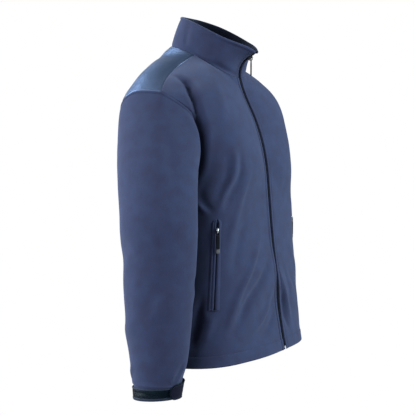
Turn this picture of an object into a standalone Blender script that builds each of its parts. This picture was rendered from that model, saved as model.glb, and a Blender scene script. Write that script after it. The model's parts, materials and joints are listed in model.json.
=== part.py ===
"""Fleece zip jacket, filled out and hollow, as it hangs on a wearer's shoulders.

Metres. +Z is up and the front faces -Y, so the wearer's left is at +X. The origin lies on the neck's axis,
level with the highest points of the shoulder seams. Every length is real.
"""
import math
from collections import namedtuple

import bmesh
import bpy
import numpy as np
from mathutils import Matrix, Vector

# ---------------------------------------------------------------- driving dimensions
FLEECE = 0.0024            # wall of the bonded fleece
COLLAR_CLOTH = 0.0040      # collar, two layers
SEAM_HALF_GAP = 0.00015    # each side of a seam
SHARPEST = 0.6             # a seam's fold counts as no sharper than this when its gap is widened
WALL_STRETCH = 1.35        # largest growth of a wall's depth at a folded seam
LAY_GAP = 0.0004           # under a piece that lies on another
ZIP_HALF = 0.0056          # from the centre line to a front's edge
QUARTER = 0.300            # centre front or centre back to side seam, along the cloth

HEM_FRONT = -0.647
HEM_SIDE = -0.661
HEM_BACK = -0.672
ARMPIT = -0.315
LOW_GUIDE = -0.370         # height of the row that guides the cloth up into the armpit row
WAIST = -0.450             # where lengths along the cloth are measured
CORNER_FROM = 0.86         # share of the armpit row from which it bends out to the armpit

# Body up to the armpits: half width at the side seams, reach of centre front and back from the neck's axis,
# where the side seam lies (+ is backwards), and how square the front and the back are.
Girth = namedtuple("Girth", "z half_width front back widest square_front square_back")
GIRTHS = (
    Girth(-0.700, 0.229, 0.2040, 0.112, 0.000, 2.7, 2.4),
    Girth(-0.648, 0.228, 0.1965, 0.115, 0.000, 2.75, 2.4),
    Girth(-0.590, 0.226, 0.1860, 0.119, 0.000, 2.75, 2.4),
    Girth(-0.530, 0.224, 0.1775, 0.124, 0.000, 2.85, 2.4),
    Girth(-0.450, 0.221, 0.1695, 0.130, 0.002, 3.1, 2.5),
    Girth(-0.376, 0.216, 0.1615, 0.134, 0.003, 3.3, 2.5),
    Girth(-0.315, 0.210, 0.1560, 0.136, 0.005, 3.4, 2.5),
)

# Above the armpits a row for each section, from the centre front to the armhole.
Section = namedtuple("Section", "centre chest_1 chest_2 chest_3 armhole")
FRONT_SECTIONS = (
    Section((0.0, -0.1490, -0.250), (0.062, -0.1560, -0.250), (0.130, -0.1515, -0.250),
            (0.175, -0.1150, -0.250), (0.202, -0.0600, -0.270)),
    Section((0.0, -0.1385, -0.192), (0.062, -0.1470, -0.190), (0.130, -0.1450, -0.187),
            (0.170, -0.1180, -0.187), (0.193, -0.0830, -0.198)),
    Section((0.0, -0.1190, -0.136), (0.060, -0.1290, -0.128), (0.122, -0.1270, -0.122),
            (0.170, -0.1090, -0.120), (0.201, -0.0790, -0.131)),
    Section((0.0, -0.0965, -0.087), (0.056, -0.0990, -0.073), (0.112, -0.0930, -0.063),
            (0.166, -0.0790, -0.073), (0.219, -0.0470, -0.099)),
    Section((0.0, -0.0886, -0.0644), (0.058, -0.0780, -0.0420), (0.104, -0.0585, -0.0290),
            (0.163, -0.0430, -0.0545), (0.227, -0.0317, -0.0882)),
)
# The same from the centre back; the yoke begins at the fourth row and the last lies on the shoulders' ridge.
BACK_SECTIONS = (
    Section((0.0, 0.1430, -0.252), (0.070, 0.1390, -0.252), (0.130, 0.1270, -0.252),
            (0.175, 0.1060, -0.252), (0.203, 0.0640, -0.272)),
    Section((0.0, 0.1440, -0.190), (0.070, 0.1400, -0.190), (0.130, 0.1300, -0.190),
            (0.175, 0.1160, -0.190), (0.202, 0.0930, -0.205)),
    Section((0.0, 0.1400, -0.125), (0.070, 0.1370, -0.125), (0.130, 0.1290, -0.125),
            (0.178, 0.1180, -0.127), (0.213, 0.0980, -0.145)),
    Section((0.0, 0.1270, -0.056), (0.065, 0.1220, -0.056), (0.124, 0.1120, -0.064),
            (0.182, 0.0980, -0.074), (0.229, 0.0820, -0.096)),
    Section((0.0, 0.1080, 0.000), (0.058, 0.0960, 0.000), (0.104, 0.0780, -0.006),
            (0.172, 0.0620, -0.034), (0.237, 0.0480, -0.0775)),
    Section((0.0, 0.0985, 0.019), (0.057, 0.0800, 0.016), (0.097, 0.0220, -0.001),
            (0.168, 0.0230, -0.033), (0.2385, 0.0180, -0.0760)),
)
NECK_CORNER = (0.072, -0.0050, 0.0070)       # where collar, front and yoke meet
SHOULDER_CORNER = (0.235, -0.0156, -0.0785)  # where sleeve, front and yoke meet
ARMPIT_CORNER = (0.2175, -0.0020, -0.3130)   # where sleeve, front and back meet
NECK_FRONT = ((0.0, -0.0815, -0.0415), (0.038, -0.0795, -0.0385), (0.063, -0.0575, -0.0225), NECK_CORNER)
NECK_BACK = ((0.0, 0.0835, 0.0350), (0.046, 0.0665, 0.0310), (0.067, 0.0330, 0.0215), NECK_CORNER)
SHOULDER_SEAM = (NECK_CORNER, (0.130, 0.0060, -0.0215), (0.195, -0.0020, -0.0540), SHOULDER_CORNER)
NECK_SHARE_FRONT = 0.40    # share of a front's width that ends at the neck
NECK_SHARE_BACK = 0.45

COLLAR_TOP = ((0.0, -0.1255, 0.0135), (0.019, -0.1150, 0.0230), (0.040, -0.1000, 0.0310),
              (0.060, -0.0720, 0.0440), (0.0685, -0.0350, 0.0630), (0.064, 0.0050, 0.0820),
              (0.046, 0.0400, 0.0950), (0.0, 0.0590, 0.1000))
COLLAR_LEAN = (3.0, 1.25)  # how late the stand leans forward: centre front, centre back

# Sleeve below the armpit: centre and half sizes, across and front to back, and how far its front is raised.
Bore = namedtuple("Bore", "z centre_x centre_y half_x half_y rise")
SLEEVE = (
    Bore(-0.365, 0.2905, -0.0415, 0.0630, 0.0850, 0.0),
    Bore(-0.430, 0.2905, -0.0420, 0.0610, 0.0815, 0.0),
    Bore(-0.510, 0.2905, -0.0415, 0.0580, 0.0748, 0.0),
    Bore(-0.580, 0.2900, -0.0410, 0.0530, 0.0682, 0.0005),
    Bore(-0.640, 0.2895, -0.0395, 0.0465, 0.0615, 0.0025),
    Bore(-0.672, 0.2890, -0.0370, 0.0425, 0.0550, 0.0040),
    Bore(-0.710, 0.2885, -0.0345, 0.0390, 0.0498, 0.0045),
)
LEFT_SWING = 0.055         # how much further back the left sleeve hangs
CapStart = namedtuple("CapStart", "out to_front to_back down down_on_top")
CAP_START = CapStart(0.40, 0.20, 0.00, 0.16, 0.66)   # direction in which the sleeve leaves the armhole
CAP_PULL = (0.62, 0.95)    # length of its curve's ends, as shares of its reach

# Largest folds. across runs from 0 at the centre front over 1 at the side seam to 2 at the centre back, and
# on a sleeve from 0 under the arm over 0.25 in front; height is out of the cloth, and a trough is negative.
Fold = namedtuple("Fold", "piece side across z to_across to_z height width")
FOLDS = (
    Fold("body", -1, 0.26, -0.235, 0.50, -0.330, 0.0045, 0.036),
    Fold("body", -1, 0.06, -0.470, 0.54, -0.600, 0.0050, 0.036),
    Fold("body", -1, 0.14, -0.540, 0.46, -0.640, -0.0040, 0.034),
    Fold("body", -1, 0.86, -0.360, 0.92, -0.560, -0.0060, 0.036),
    Fold("body", 1, 0.26, -0.250, 0.52, -0.350, 0.0040, 0.036),
    Fold("body", 1, 0.10, -0.500, 0.56, -0.590, 0.0045, 0.036),
    Fold("body", 1, 0.88, -0.380, 0.93, -0.580, -0.0055, 0.036),
    Fold("body", -1, 1.35, -0.300, 1.72, -0.430, 0.0050, 0.038),
    Fold("body", 1, 1.30, -0.310, 1.66, -0.450, 0.0050, 0.038),
    Fold("body", 1, 1.45, -0.480, 1.95, -0.560, -0.0045, 0.036),
    Fold("sleeve", -1, 0.30, -0.420, 0.46, -0.500, -0.0035, 0.026),
    Fold("sleeve", -1, 0.62, -0.400, 0.80, -0.470, -0.0040, 0.026),
    Fold("sleeve", -1, 0.60, -0.560, 0.78, -0.610, 0.0030, 0.024),
    Fold("sleeve", 1, 0.26, -0.430, 0.42, -0.510, -0.0035, 0.026),
    Fold("sleeve", 1, 0.60, -0.410, 0.78, -0.480, -0.0040, 0.026),
)

FRONT_COLUMNS = (6, 8)     # to the neck's corner, then to the armhole
BACK_COLUMNS = (6, 8)
LOW_ROWS = 12              # hem to armpit
FADE_ROWS = 3              # rows below the armpit in which the folds begin to fade
FRONT_ROWS = (2, 2, 2, 2, 1, 1)
BACK_ROWS = (2, 2, 2, 3)
YOKE_ROWS = (2, 1, 2)
CAP_ROWS = 8
CUFF_BAND = (-0.684, -0.7075)  # top and bottom of the strip round the cuff
TUBE_HEIGHTS = (-0.393, -0.421, -0.449, -0.477, -0.505, -0.533, -0.561, -0.589, -0.617, -0.645, -0.667,
                CUFF_BAND[0], CUFF_BAND[1], SLEEVE[-1].z)
COLLAR_ROWS = 5
SPLIT_ORDER = np.array([0.2, 0.3, 1.0])   # direction in which seam edges are ordered before they are split

TAPE_INNER = 0.0030        # from the centre line to a tape's edge
TEETH_HALF = 0.0027
TAPE_DEPTH = 0.0010        # how far the tapes lie under the fronts' faces
TEETH_DEPTH = 0.0004
TAPE = 0.0012
TEETH = 0.0022

SLIDER_HEIGHT = 0.0040     # of the front zip's slider, on the collar
FRONT_SLIDER = (0.0088, 0.0130, 0.0042)   # across, along and out from the teeth
POCKET_SLIDER = (0.0050, 0.0110, 0.0050)
SLIDER_LIFT = 0.0003
SLIDER_EDGE = 0.0008                      # width of its softened edges
BRIDGE_OUTLINE = (0.0090, 0.0046)         # along, out from the slider
BRIDGE_HOLE = (0.0060, 0.0030)
BRIDGE_WIDTH = 0.0020
BRIDGE_ROOT = 0.0008                      # how deep it is set in the slider
BRIDGE_CORNERS = (0.0014, 0.0007)         # radii outside and in its hole
PIN = 0.0005               # half size of the pull's cross bar
PIN_GAP = 0.0006
PULL_SLOT = 0.0030         # width of its slot
SLOT_CORNER = 0.0006
PULL_ROUNDING = 0.4        # corner radius as a share of a pull's width
Pull = namedtuple("Pull", "length width thickness slot")
FRONT_PULL = Pull(0.0360, 0.0056, 0.0014, 0.0080)
POCKET_PULL = Pull(0.0480, 0.0080, 0.0012, 0.0080)

POCKET_TOP = (0.592, -0.356)     # across, z
POCKET_END = (0.626, -0.536)
POCKET_STEPS = 14
REAR_STEP = 0.03                 # across, to a point behind the pocket that shows how the cloth faces
POCKET_GAP = 0.0009              # between the fronts and what lies on them at a pocket
WELT_REAR = (0.0030, 0.0118)     # from the pocket zip's middle
WELT_FRONT = (0.0030, 0.0092)
WELT = 0.0015
POCKET_ZIP_HALF = 0.0022
POCKET_ZIP = 0.0012
POCKET_SLIDER_Z = -0.373

BAND = 0.0014              # strip round the cuff
TAB = 0.0020               # cuff tab
TAB_SPAN = (0.10, 0.345)   # round the sleeve, from its fixed end to its rounded one
TAB_TOP = -0.674
TAB_END_TOP = -0.678
TAB_BOTTOM = -0.7100
TAB_STEPS = 10
TAB_ROUND_FROM = 0.8       # share of its length from which its end is rounded
TAB_BLUNT = 0.06           # squared share of its height left at the very end
TAB_LIFT = 0.0006          # over the cuff strip, beyond the usual gap, because both are faceted


# ---------------------------------------------------------------- curves and surfaces
def spline(knots, values, at):
    """Cubic curve through values at knots, with the slope at each taken from its two neighbours."""
    knots = np.asarray(knots, float)
    values = np.asarray(values, float)
    at = np.atleast_1d(np.asarray(at, float))
    column = (-1,) + (1,) * (values.ndim - 1)
    step = np.diff(knots)
    rise = np.diff(values, axis=0) / step.reshape(column)
    slope = np.empty_like(values)
    weight = (step[:-1] / (step[:-1] + step[1:])).reshape(column)
    slope[1:-1] = (1 - weight) * rise[:-1] + weight * rise[1:]
    slope[0] = 1.5 * rise[0] - 0.5 * slope[1]
    slope[-1] = 1.5 * rise[-1] - 0.5 * slope[-2]
    k = np.clip(np.searchsorted(knots, at, side="right") - 1, 0, len(step) - 1)
    h = step[k]
    t = ((at - knots[k]) / h).reshape(column)
    h = h.reshape(column)
    return ((2 * t**3 - 3 * t**2 + 1) * values[k] + (t**3 - 2 * t**2 + t) * h * slope[k]
            + (3 * t**2 - 2 * t**3) * values[k + 1] + (t**3 - t**2) * h * slope[k + 1])


def lengths(points):
    """Distance along a line of points, from its first."""
    return np.concatenate([[0], np.cumsum(np.linalg.norm(np.diff(points, axis=0), axis=1))])


def along(points, shares):
    points = np.asarray(points, float)
    run = lengths(points)
    return spline(run / run[-1], points, shares)


def ring(angle, z):
    """Point of the body at an angle (0 centre front, pi / 2 side seam, pi centre back) and a height."""
    table = np.array(GIRTHS)
    half, front, back, widest, square_front, square_back = spline(table[:, 0], table[:, 1:], z).T
    c = np.cos(angle)
    n = np.where(c >= 0, square_front, square_back)
    depth = np.where(c >= 0, -(front + widest), back - widest)
    x = half * np.abs(np.sin(angle)) ** (2 / n)
    y = widest + depth * np.abs(c) ** (2 / n)
    return np.stack([x, y, np.asarray(z, float) + 0 * x], axis=-1)


def angles(shares, is_front):
    """Angles at which shares of the way from the centre to the side seam lie, measured at the waist."""
    dense = np.linspace(0, math.pi / 2, 2001)
    if not is_front:
        dense = math.pi - dense
    run = lengths(ring(dense, np.full(dense.shape, WAIST)))
    return np.interp(np.asarray(shares) * run[-1], run, dense)


def hem_height(angle):
    c = np.cos(angle)
    return HEM_SIDE + c**2 * np.where(c > 0, HEM_FRONT - HEM_SIDE, HEM_BACK - HEM_SIDE)


def top_edge(neck, corner, shares):
    """Upper edge of a front, or of the yoke: along the neck, then along the shoulder seam."""
    at_neck = shares <= corner + 1e-9
    edge = np.empty((len(shares), 3))
    edge[at_neck] = along(neck, shares[at_neck] / corner)
    edge[~at_neck] = along(SHOULDER_SEAM, (shares[~at_neck] - corner) / (1 - corner))
    return edge


def body_half(is_front, shares, row_shares):
    """Left half of the fronts or of the back with its yoke: rows of points, from the hem up."""
    angle = angles(shares, is_front)
    hem = hem_height(angle)
    rows = []
    for share in np.linspace(0, 1, LOW_ROWS + 1):
        rows.append(ring(angle, hem + share * (ARMPIT - hem)))
    armpit = rows.pop()
    reach = np.clip((shares - CORNER_FROM) / (1 - CORNER_FROM), 0, 1) ** 2
    armpit = armpit + reach[:, None] * (np.array(ARMPIT_CORNER) - armpit[-1])
    sections = FRONT_SECTIONS if is_front else BACK_SECTIONS
    neck, corner = (NECK_FRONT, NECK_SHARE_FRONT) if is_front else (NECK_BACK, NECK_SHARE_BACK)
    guides = [ring(angle, np.full(len(shares), LOW_GUIDE)), armpit]
    for section in sections:
        guides.append(spline(np.linspace(0, 1, len(section)), np.array(section), shares))
    guides.append(top_edge(neck, corner, shares))
    guides = np.array(guides)
    upper = [armpit]
    for index in range(1, len(guides) - 1):
        for step in range(1, row_shares[index - 1] + 1):
            share = step / row_shares[index - 1]
            row = np.empty((len(shares), 3))
            for column in range(len(shares)):
                knots = lengths(guides[:, column])
                at = knots[index] + share * (knots[index + 1] - knots[index])
                row[column] = spline(knots, guides[:, column], at)[0]
            upper.append(row)
    return np.array(rows + upper)


def panel_shares(corner, steps):
    neck = np.linspace(0, corner, steps[0] + 1)
    shoulder = np.linspace(corner, 1, steps[1] + 1)[1:]
    return np.concatenate([neck, shoulder])


def tube_ring(z, turn, swing):
    """Section of a sleeve at one height, at the given turns from under the arm over the front."""
    table = np.array(SLEEVE)[::-1]
    centre_x, centre_y, half_x, half_y, rise = spline(table[:, 0], table[:, 1:], z)[0]
    x = centre_x - half_x * np.cos(turn)
    y = centre_y + swing - half_y * np.sin(turn)
    return np.stack([x, y, z + rise * np.sin(turn)], axis=-1)


def sleeve_half(armhole, swing):
    """Rows of points from the armhole to the cuff; the armhole runs from the armpit up its front."""
    run = lengths(np.vstack([armhole, armhole[:1]]))
    turn = 2 * math.pi * run[:-1] / run[-1]
    first = tube_ring(SLEEVE[0].z, turn, swing)
    over = (1 - np.cos(turn)) / 2
    sideways = np.where(np.sin(turn) > 0, CAP_START.to_front, CAP_START.to_back)
    down = CAP_START.down + CAP_START.down_on_top * over
    start = np.stack([CAP_START.out + 0 * over, -sideways * np.sin(turn), -down], axis=-1)
    start /= np.linalg.norm(start, axis=1)[:, None]
    reach = np.linalg.norm(first - armhole, axis=1)[:, None]
    start = start * reach * CAP_PULL[0]
    end = np.array([0, 0, -1.0]) * reach * CAP_PULL[1]
    rows = []
    for t in np.linspace(0, 1, CAP_ROWS + 1):
        rows.append((2 * t**3 - 3 * t**2 + 1) * armhole + (t**3 - 2 * t**2 + t) * start
                    + (3 * t**2 - 2 * t**3) * first + (t**3 - t**2) * end)
    for z in TUBE_HEIGHTS:
        rows.append(tube_ring(z, turn, swing))
    return np.array(rows), turn


def collar_half(base):
    """Rows of points from the neck seam up; the stand rises first and leans forward later."""
    share = lengths(base) / lengths(base)[-1]
    top = along(COLLAR_TOP, share)
    late_front, late_back = COLLAR_LEAN
    lean = late_back + (late_front - late_back) * (1 - share) ** 4
    rows = []
    for v in np.linspace(0, 1, COLLAR_ROWS + 1):
        row = base + v * (top - base)
        row[:, 1] = base[:, 1] + v**lean * (top - base)[:, 1]
        rows.append(row)
    return np.array(rows)


def folded(points, across, side, piece, around, share=1.0):
    """Points moved out by a share of the folds; around is the cloth's length for 1 across."""
    centre = np.array([0.0, 0.0]) if piece == "body" else points[..., :2].mean(axis=1, keepdims=True)
    outward = points[..., :2] - centre
    outward /= np.linalg.norm(outward, axis=-1, keepdims=True)
    moved = points.copy()
    for fold in FOLDS:
        if fold.piece != piece or fold.side != side:
            continue
        start = np.array([fold.across * around, fold.z])
        run = np.array([fold.to_across * around, fold.to_z]) - start
        place = np.stack([across * around + 0 * points[..., 2], points[..., 2]], axis=-1) - start
        reached = np.clip(place @ run / (run @ run), 0, 1)
        distance = np.linalg.norm(place - reached[..., None] * run, axis=-1)
        bump = fold.height * np.exp(-(distance / fold.width) ** 2)
        moved[..., :2] += (share * bump)[..., None] * outward
    return moved


def fold_share(points, shares):
    """1 below the armpits; above them the folds fade towards the armhole, whose points stay as they are."""
    above = np.clip((np.arange(len(points)) - LOW_ROWS + FADE_ROWS) / FADE_ROWS, 0, 1)
    return 1 - above[:, None] * shares**3


def mirrored(points):
    return points * np.array([-1.0, 1.0, 1.0])


# ---------------------------------------------------------------- the garment's outer points
def garment_grids():
    """Outer points of each cloth piece, every grid running the same way round."""
    front_shares = panel_shares(NECK_SHARE_FRONT, FRONT_COLUMNS)
    back_shares = panel_shares(NECK_SHARE_BACK, BACK_COLUMNS)
    front = body_half(True, front_shares, FRONT_ROWS)
    back = body_half(False, back_shares, BACK_ROWS + YOKE_ROWS)
    armhole = np.vstack([front[LOW_ROWS:, -1], back[LOW_ROWS:-1, -1][::-1][:-1]])
    neck = np.vstack([front[-1][:FRONT_COLUMNS[0] + 1], back[-1][:BACK_COLUMNS[0]][::-1]])
    front_of = {}
    back_of = {}
    for side in (-1, 1):
        front_of[side] = folded(front, front_shares, side, "body", QUARTER, fold_share(front, front_shares))
        back_of[side] = folded(back, 2 - back_shares, side, "body", QUARTER, fold_share(back, back_shares))
    whole_back = np.concatenate([back_of[1][:, ::-1], mirrored(back_of[-1])[:, 1:]], axis=1)
    middle = len(back_shares) - 1
    whole_back[:, middle] = (back_of[1][:, 0] + mirrored(back_of[-1])[:, 0]) / 2
    yoke_row = LOW_ROWS + sum(BACK_ROWS)
    stand = collar_half(neck)
    grids = {
        "front_left": front_of[1],
        "front_right": mirrored(front_of[-1])[:, ::-1],
        "back": whole_back[:yoke_row + 1],
        "yoke": whole_back[yoke_row:],
        "collar": np.concatenate([stand, mirrored(stand)[:, ::-1][:, 1:]], axis=1),
    }
    for name in ("front_left", "collar"):
        grids[name][:, 0, 0] = ZIP_HALF
    for name in ("front_right", "collar"):
        grids[name][:, -1, 0] = -ZIP_HALF
    turns = {}
    for name, side, swing in (("sleeve_right", -1, 0.0), ("sleeve_left", 1, LEFT_SWING)):
        rows, turns[name] = sleeve_half(armhole, swing)
        around = lengths(rows[CAP_ROWS])[-1] * (1 + 1 / len(armhole))
        tube = folded(rows[1:], turns[name] / (2 * math.pi), side, "sleeve", around)
        rows = np.concatenate([rows[:1], tube])
        grids[name] = rows[:, ::-1] if side == 1 else mirrored(rows)
    return grids


ZIP_COLUMNS = {"front_left": (0,), "front_right": (-1,), "collar": (0, -1)}   # edges that lie at the zip
SET_IN = ("collar", "sleeve_left", "sleeve_right")   # at a seam they count as much as what they are sewn to


def is_tube(name):
    return name.startswith("sleeve")


def face_normals(grid, tube):
    ahead = np.roll(grid, -1, axis=1) if tube else grid[:, 1:]
    here = grid if tube else grid[:, :-1]
    one = ahead[1:] - here[:-1]
    two = here[1:] - ahead[:-1]
    normal = np.cross(one, two)
    return normal / np.maximum(np.linalg.norm(normal, axis=-1, keepdims=True), 1e-12)


def point_key(point):
    return tuple(np.round(point, 5))


def seam_normals(grids):
    """Unit normal at each point, shared by the pieces that meet there, and how square each is to it."""
    total = {}
    touching = {}
    for name, grid in grids.items():
        tube = is_tube(name)
        faces = face_normals(grid, tube)
        rows, columns = grid.shape[:2]
        own = np.zeros_like(grid)
        for down in (0, 1):
            for right in (0, 1):
                for r in range(faces.shape[0]):
                    for c in range(faces.shape[1]):
                        own[r + down, (c + right) % columns] += faces[r, c]
        own /= np.linalg.norm(own, axis=-1, keepdims=True)
        touching[name] = own
        for r in range(rows):
            for c in range(columns):
                key = (point_key(grid[r, c]), name in SET_IN)
                total[key] = total.get(key, 0) + own[r, c]
    normals = {}
    squareness = {}
    for name, grid in grids.items():
        shared = np.zeros_like(grid)
        for (r, c), _ in np.ndenumerate(grid[..., 0]):
            for is_set_in in (False, True):
                normal = total.get((point_key(grid[r, c]), is_set_in))
                if normal is not None:
                    shared[r, c] += normal / np.linalg.norm(normal)
        for column in ZIP_COLUMNS.get(name, ()):
            shared[:, column, 0] = 0
        shared /= np.linalg.norm(shared, axis=-1, keepdims=True)
        normals[name] = shared
        squareness[name] = np.einsum("ijk,ijk->ij", shared, touching[name])
    return normals, touching, squareness


def pulled_back(grid, own, squareness, tube):
    """The grid with its edges drawn back, square to the seams and within the cloth."""
    out = grid.copy()
    padded = np.concatenate([grid[:, -1:], grid, grid[:, :1]], axis=1)
    along_row = np.gradient(padded, axis=1)[:, 1:-1] if tube else np.gradient(grid, axis=1)
    up_column = np.gradient(grid, axis=0)
    draw = SEAM_HALF_GAP / np.clip(squareness, SHARPEST, 1) ** 2
    upward = np.cross(own, along_row)
    sideways = np.cross(up_column, own)
    edges = [(0, slice(None), upward), (-1, slice(None), -upward)]
    if not tube:
        edges += [(slice(None), 0, sideways), (slice(None), -1, -sideways)]
    for row, column, direction in edges:
        inward = direction[row, column]
        inward = inward / np.linalg.norm(inward, axis=-1, keepdims=True)
        out[row, column] += inward * draw[row, column][..., None]
    return out


# ---------------------------------------------------------------- making objects
def clear_scene():
    for thing in list(bpy.data.objects):
        bpy.data.objects.remove(thing, do_unlink=True)


def collection(name):
    group = bpy.data.collections.new(name)
    bpy.context.scene.collection.children.link(group)
    return group


def material(name, colour, roughness, metallic=0.0):
    finish = bpy.data.materials.new(name)
    finish.use_nodes = True
    shader = finish.node_tree.nodes["Principled BSDF"]
    shader.inputs["Base Color"].default_value = (*colour, 1.0)
    shader.inputs["Roughness"].default_value = roughness
    shader.inputs["Metallic"].default_value = metallic
    return finish


def add_object(name, mesh, group, finish):
    mesh.materials.clear()
    mesh.materials.append(finish)
    thing = bpy.data.objects.new(name, mesh)
    group.objects.link(thing)
    return thing


def wall_mesh(name, outer, inner, tube):
    """Closed wall between two grids of points, each row running the same way."""
    rows, columns = outer.shape[:2]
    shell = bmesh.new()
    sheets = []
    for grid in (outer, inner):
        sheets.append([[shell.verts.new(point) for point in row] for row in grid])
    last = columns if tube else columns - 1

    def quad(a, b, c, d):
        shell.faces.new((a, b, c))
        shell.faces.new((a, c, d))

    def edge_quad(r, c, next_r, next_c):
        """Wall's edge, split the same way by the two pieces that meet at a seam."""
        ends = ((r, c), (next_r, next_c))
        (r, c), (next_r, next_c) = sorted(ends, key=lambda end: float(np.abs(outer[end]) @ SPLIT_ORDER))
        quad(o[r][c], o[next_r][next_c], i[next_r][next_c], i[r][c])

    o, i = sheets
    for r in range(rows - 1):
        for c in range(last):
            n = (c + 1) % columns
            quad(o[r][c], o[r][n], o[r + 1][n], o[r + 1][c])
            quad(i[r + 1][c], i[r + 1][n], i[r][n], i[r][c])
    for c in range(last):
        n = (c + 1) % columns
        edge_quad(0, c, 0, n)
        edge_quad(rows - 1, c, rows - 1, n)
    if not tube:
        for r in range(rows - 1):
            edge_quad(r, 0, r + 1, 0)
            edge_quad(r, columns - 1, r + 1, columns - 1)
    mesh = bpy.data.meshes.new(name)
    bmesh.ops.recalc_face_normals(shell, faces=shell.faces[:])
    shell.to_mesh(mesh)
    shell.free()
    return mesh


def cloth_piece(name, grid, normals, own, squareness, thickness, group, finish):
    tube = is_tube(name)
    outer = pulled_back(grid, own, squareness, tube)
    depth = thickness / np.clip(squareness, 1 / WALL_STRETCH, 1)
    mesh = wall_mesh(name, outer, outer - normals * depth[..., None], tube)
    mesh.shade_smooth()
    return add_object(name, mesh, group, finish)


def strip(name, outer, normals, thickness, group, finish):
    """Wall under a grid of points that is square to its own normals."""
    mesh = wall_mesh(name, outer, outer - normals * thickness, False)
    return add_object(name, mesh, group, finish)


def flat_mesh(name, outlines, thickness):
    """Closed plate from flat outlines in the XY plane, the first round the others."""
    drawing = bpy.data.curves.new(name, "CURVE")
    drawing.dimensions = "2D"
    drawing.fill_mode = "BOTH"
    drawing.extrude = thickness / 2
    for outline in outlines:
        line = drawing.splines.new("POLY")
        line.points.add(len(outline) - 1)
        for point, place in zip(line.points, outline):
            point.co = (place[0], place[1], 0, 1)
        line.use_cyclic_u = True
    holder = bpy.data.objects.new(name, drawing)
    bpy.context.scene.collection.objects.link(holder)
    mesh = bpy.data.meshes.new_from_object(holder.evaluated_get(bpy.context.evaluated_depsgraph_get()))
    bpy.data.objects.remove(holder, do_unlink=True)
    body = bmesh.new()
    body.from_mesh(mesh)
    bmesh.ops.remove_doubles(body, verts=body.verts[:], dist=1e-6)
    bmesh.ops.recalc_face_normals(body, faces=body.faces[:])
    body.to_mesh(mesh)
    body.free()
    return mesh


def rounded_outline(width, height, radius, centre=(0.0, 0.0), steps=3):
    points = []
    for corner, (sx, sy) in enumerate(((1, 1), (-1, 1), (-1, -1), (1, -1))):
        for step in range(steps + 1):
            turn = math.pi / 2 * (corner + step / steps)
            x = centre[0] + sx * (width / 2 - radius) + radius * math.cos(turn)
            y = centre[1] + sy * (height / 2 - radius) + radius * math.sin(turn)
            points.append((x, y))
    return points


def frame_matrix(place, across, up):
    """Placement whose X is across, Y is up and Z is square to both."""
    x = Vector(across).normalized()
    z = x.cross(Vector(up)).normalized()
    y = z.cross(x)
    turn = Matrix((x, y, z)).transposed().to_4x4()
    return Matrix.Translation(Vector(place)) @ turn


# ---------------------------------------------------------------- zips
def zip_line(grids):
    """Centre front from the hem to the collar's tip, in the plane X = 0, and its outward normals."""
    body = grids["front_left"][:, 0]
    stand = grids["collar"][1:, 0]
    line = np.vstack([body, stand])
    line[:, 0] = 0
    run = np.gradient(line, axis=0)
    run /= np.linalg.norm(run, axis=1)[:, None]
    outward = np.cross([1.0, 0, 0], run)
    return line, run, outward


def zip_strip(name, line, outward, edges, depth, thickness, group, finish):
    left, right = edges
    grid = np.stack([line + [left, 0, 0], line + [right, 0, 0]], axis=1) - outward[:, None] * depth
    normals = np.repeat(outward[:, None], 2, axis=1)
    return strip(name, grid, normals, thickness, group, finish)


def slider(name, size, place, run, outward, group, cutters, finish):
    """Slider with the bridge that holds its pull. Its own X is across, Y along the zip and Z outwards."""
    across = np.cross(run, outward)
    matrix = frame_matrix(place, across, run)
    width, length, depth = size
    body = bmesh.new()
    bmesh.ops.create_cube(body, size=1.0)
    bmesh.ops.scale(body, vec=(width, length, depth), verts=body.verts[:])
    bmesh.ops.translate(body, vec=(0, 0, SLIDER_LIFT + depth / 2), verts=body.verts[:])
    mesh = bpy.data.meshes.new(name)
    body.to_mesh(mesh)
    body.free()
    piece = add_object(name, mesh, group, finish)
    piece.matrix_world = matrix
    soften = piece.modifiers.new("soft edges", "BEVEL")
    soften.width = SLIDER_EDGE
    soften.segments = 1
    hole_height = SLIDER_LIFT + depth + BRIDGE_HOLE[1] / 2
    outer_height = SLIDER_LIFT + depth + (BRIDGE_OUTLINE[1] - BRIDGE_ROOT) / 2
    outline = rounded_outline(BRIDGE_OUTLINE[0], BRIDGE_OUTLINE[1] + BRIDGE_ROOT, BRIDGE_CORNERS[0],
                              (0, outer_height))
    hole = rounded_outline(BRIDGE_HOLE[0], BRIDGE_HOLE[1], BRIDGE_CORNERS[1], (0, hole_height))
    loop_mesh = flat_mesh(name + "_bridge", [outline, hole], BRIDGE_WIDTH)
    loop_mesh.transform(Matrix(((0, 0, 1, 0), (1, 0, 0, 0), (0, 1, 0, 0), (0, 0, 0, 1))))
    bridge = add_object(name + "_bridge", loop_mesh, cutters, finish)
    bridge.matrix_world = matrix
    bridge.hide_render = True
    bridge.display_type = "WIRE"
    join = piece.modifiers.new("bridge", "BOOLEAN")
    join.operation = "UNION"
    join.object = bridge
    return matrix


def pull_place(matrix, size):
    """Middle of the pull's cross bar, resting under the bridge's far side."""
    height = SLIDER_LIFT + size[2] + BRIDGE_HOLE[1] - PIN - PIN_GAP
    return matrix @ Vector((0, 0, height))


def pull_tab(name, place, across, size, group, finish):
    """Pull hanging straight down from its cross bar, which turns about the object's own X."""
    outline = rounded_outline(size.width, size.length + PIN, size.width * PULL_ROUNDING,
                              (0, (PIN - size.length) / 2))
    slot = rounded_outline(PULL_SLOT, size.slot, SLOT_CORNER, (0, -PIN - size.slot / 2), steps=1)
    mesh = flat_mesh(name, [outline, slot], size.thickness)
    piece = add_object(name, mesh, group, finish)
    piece.matrix_world = frame_matrix(place, across, (0, 0, 1))


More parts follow.
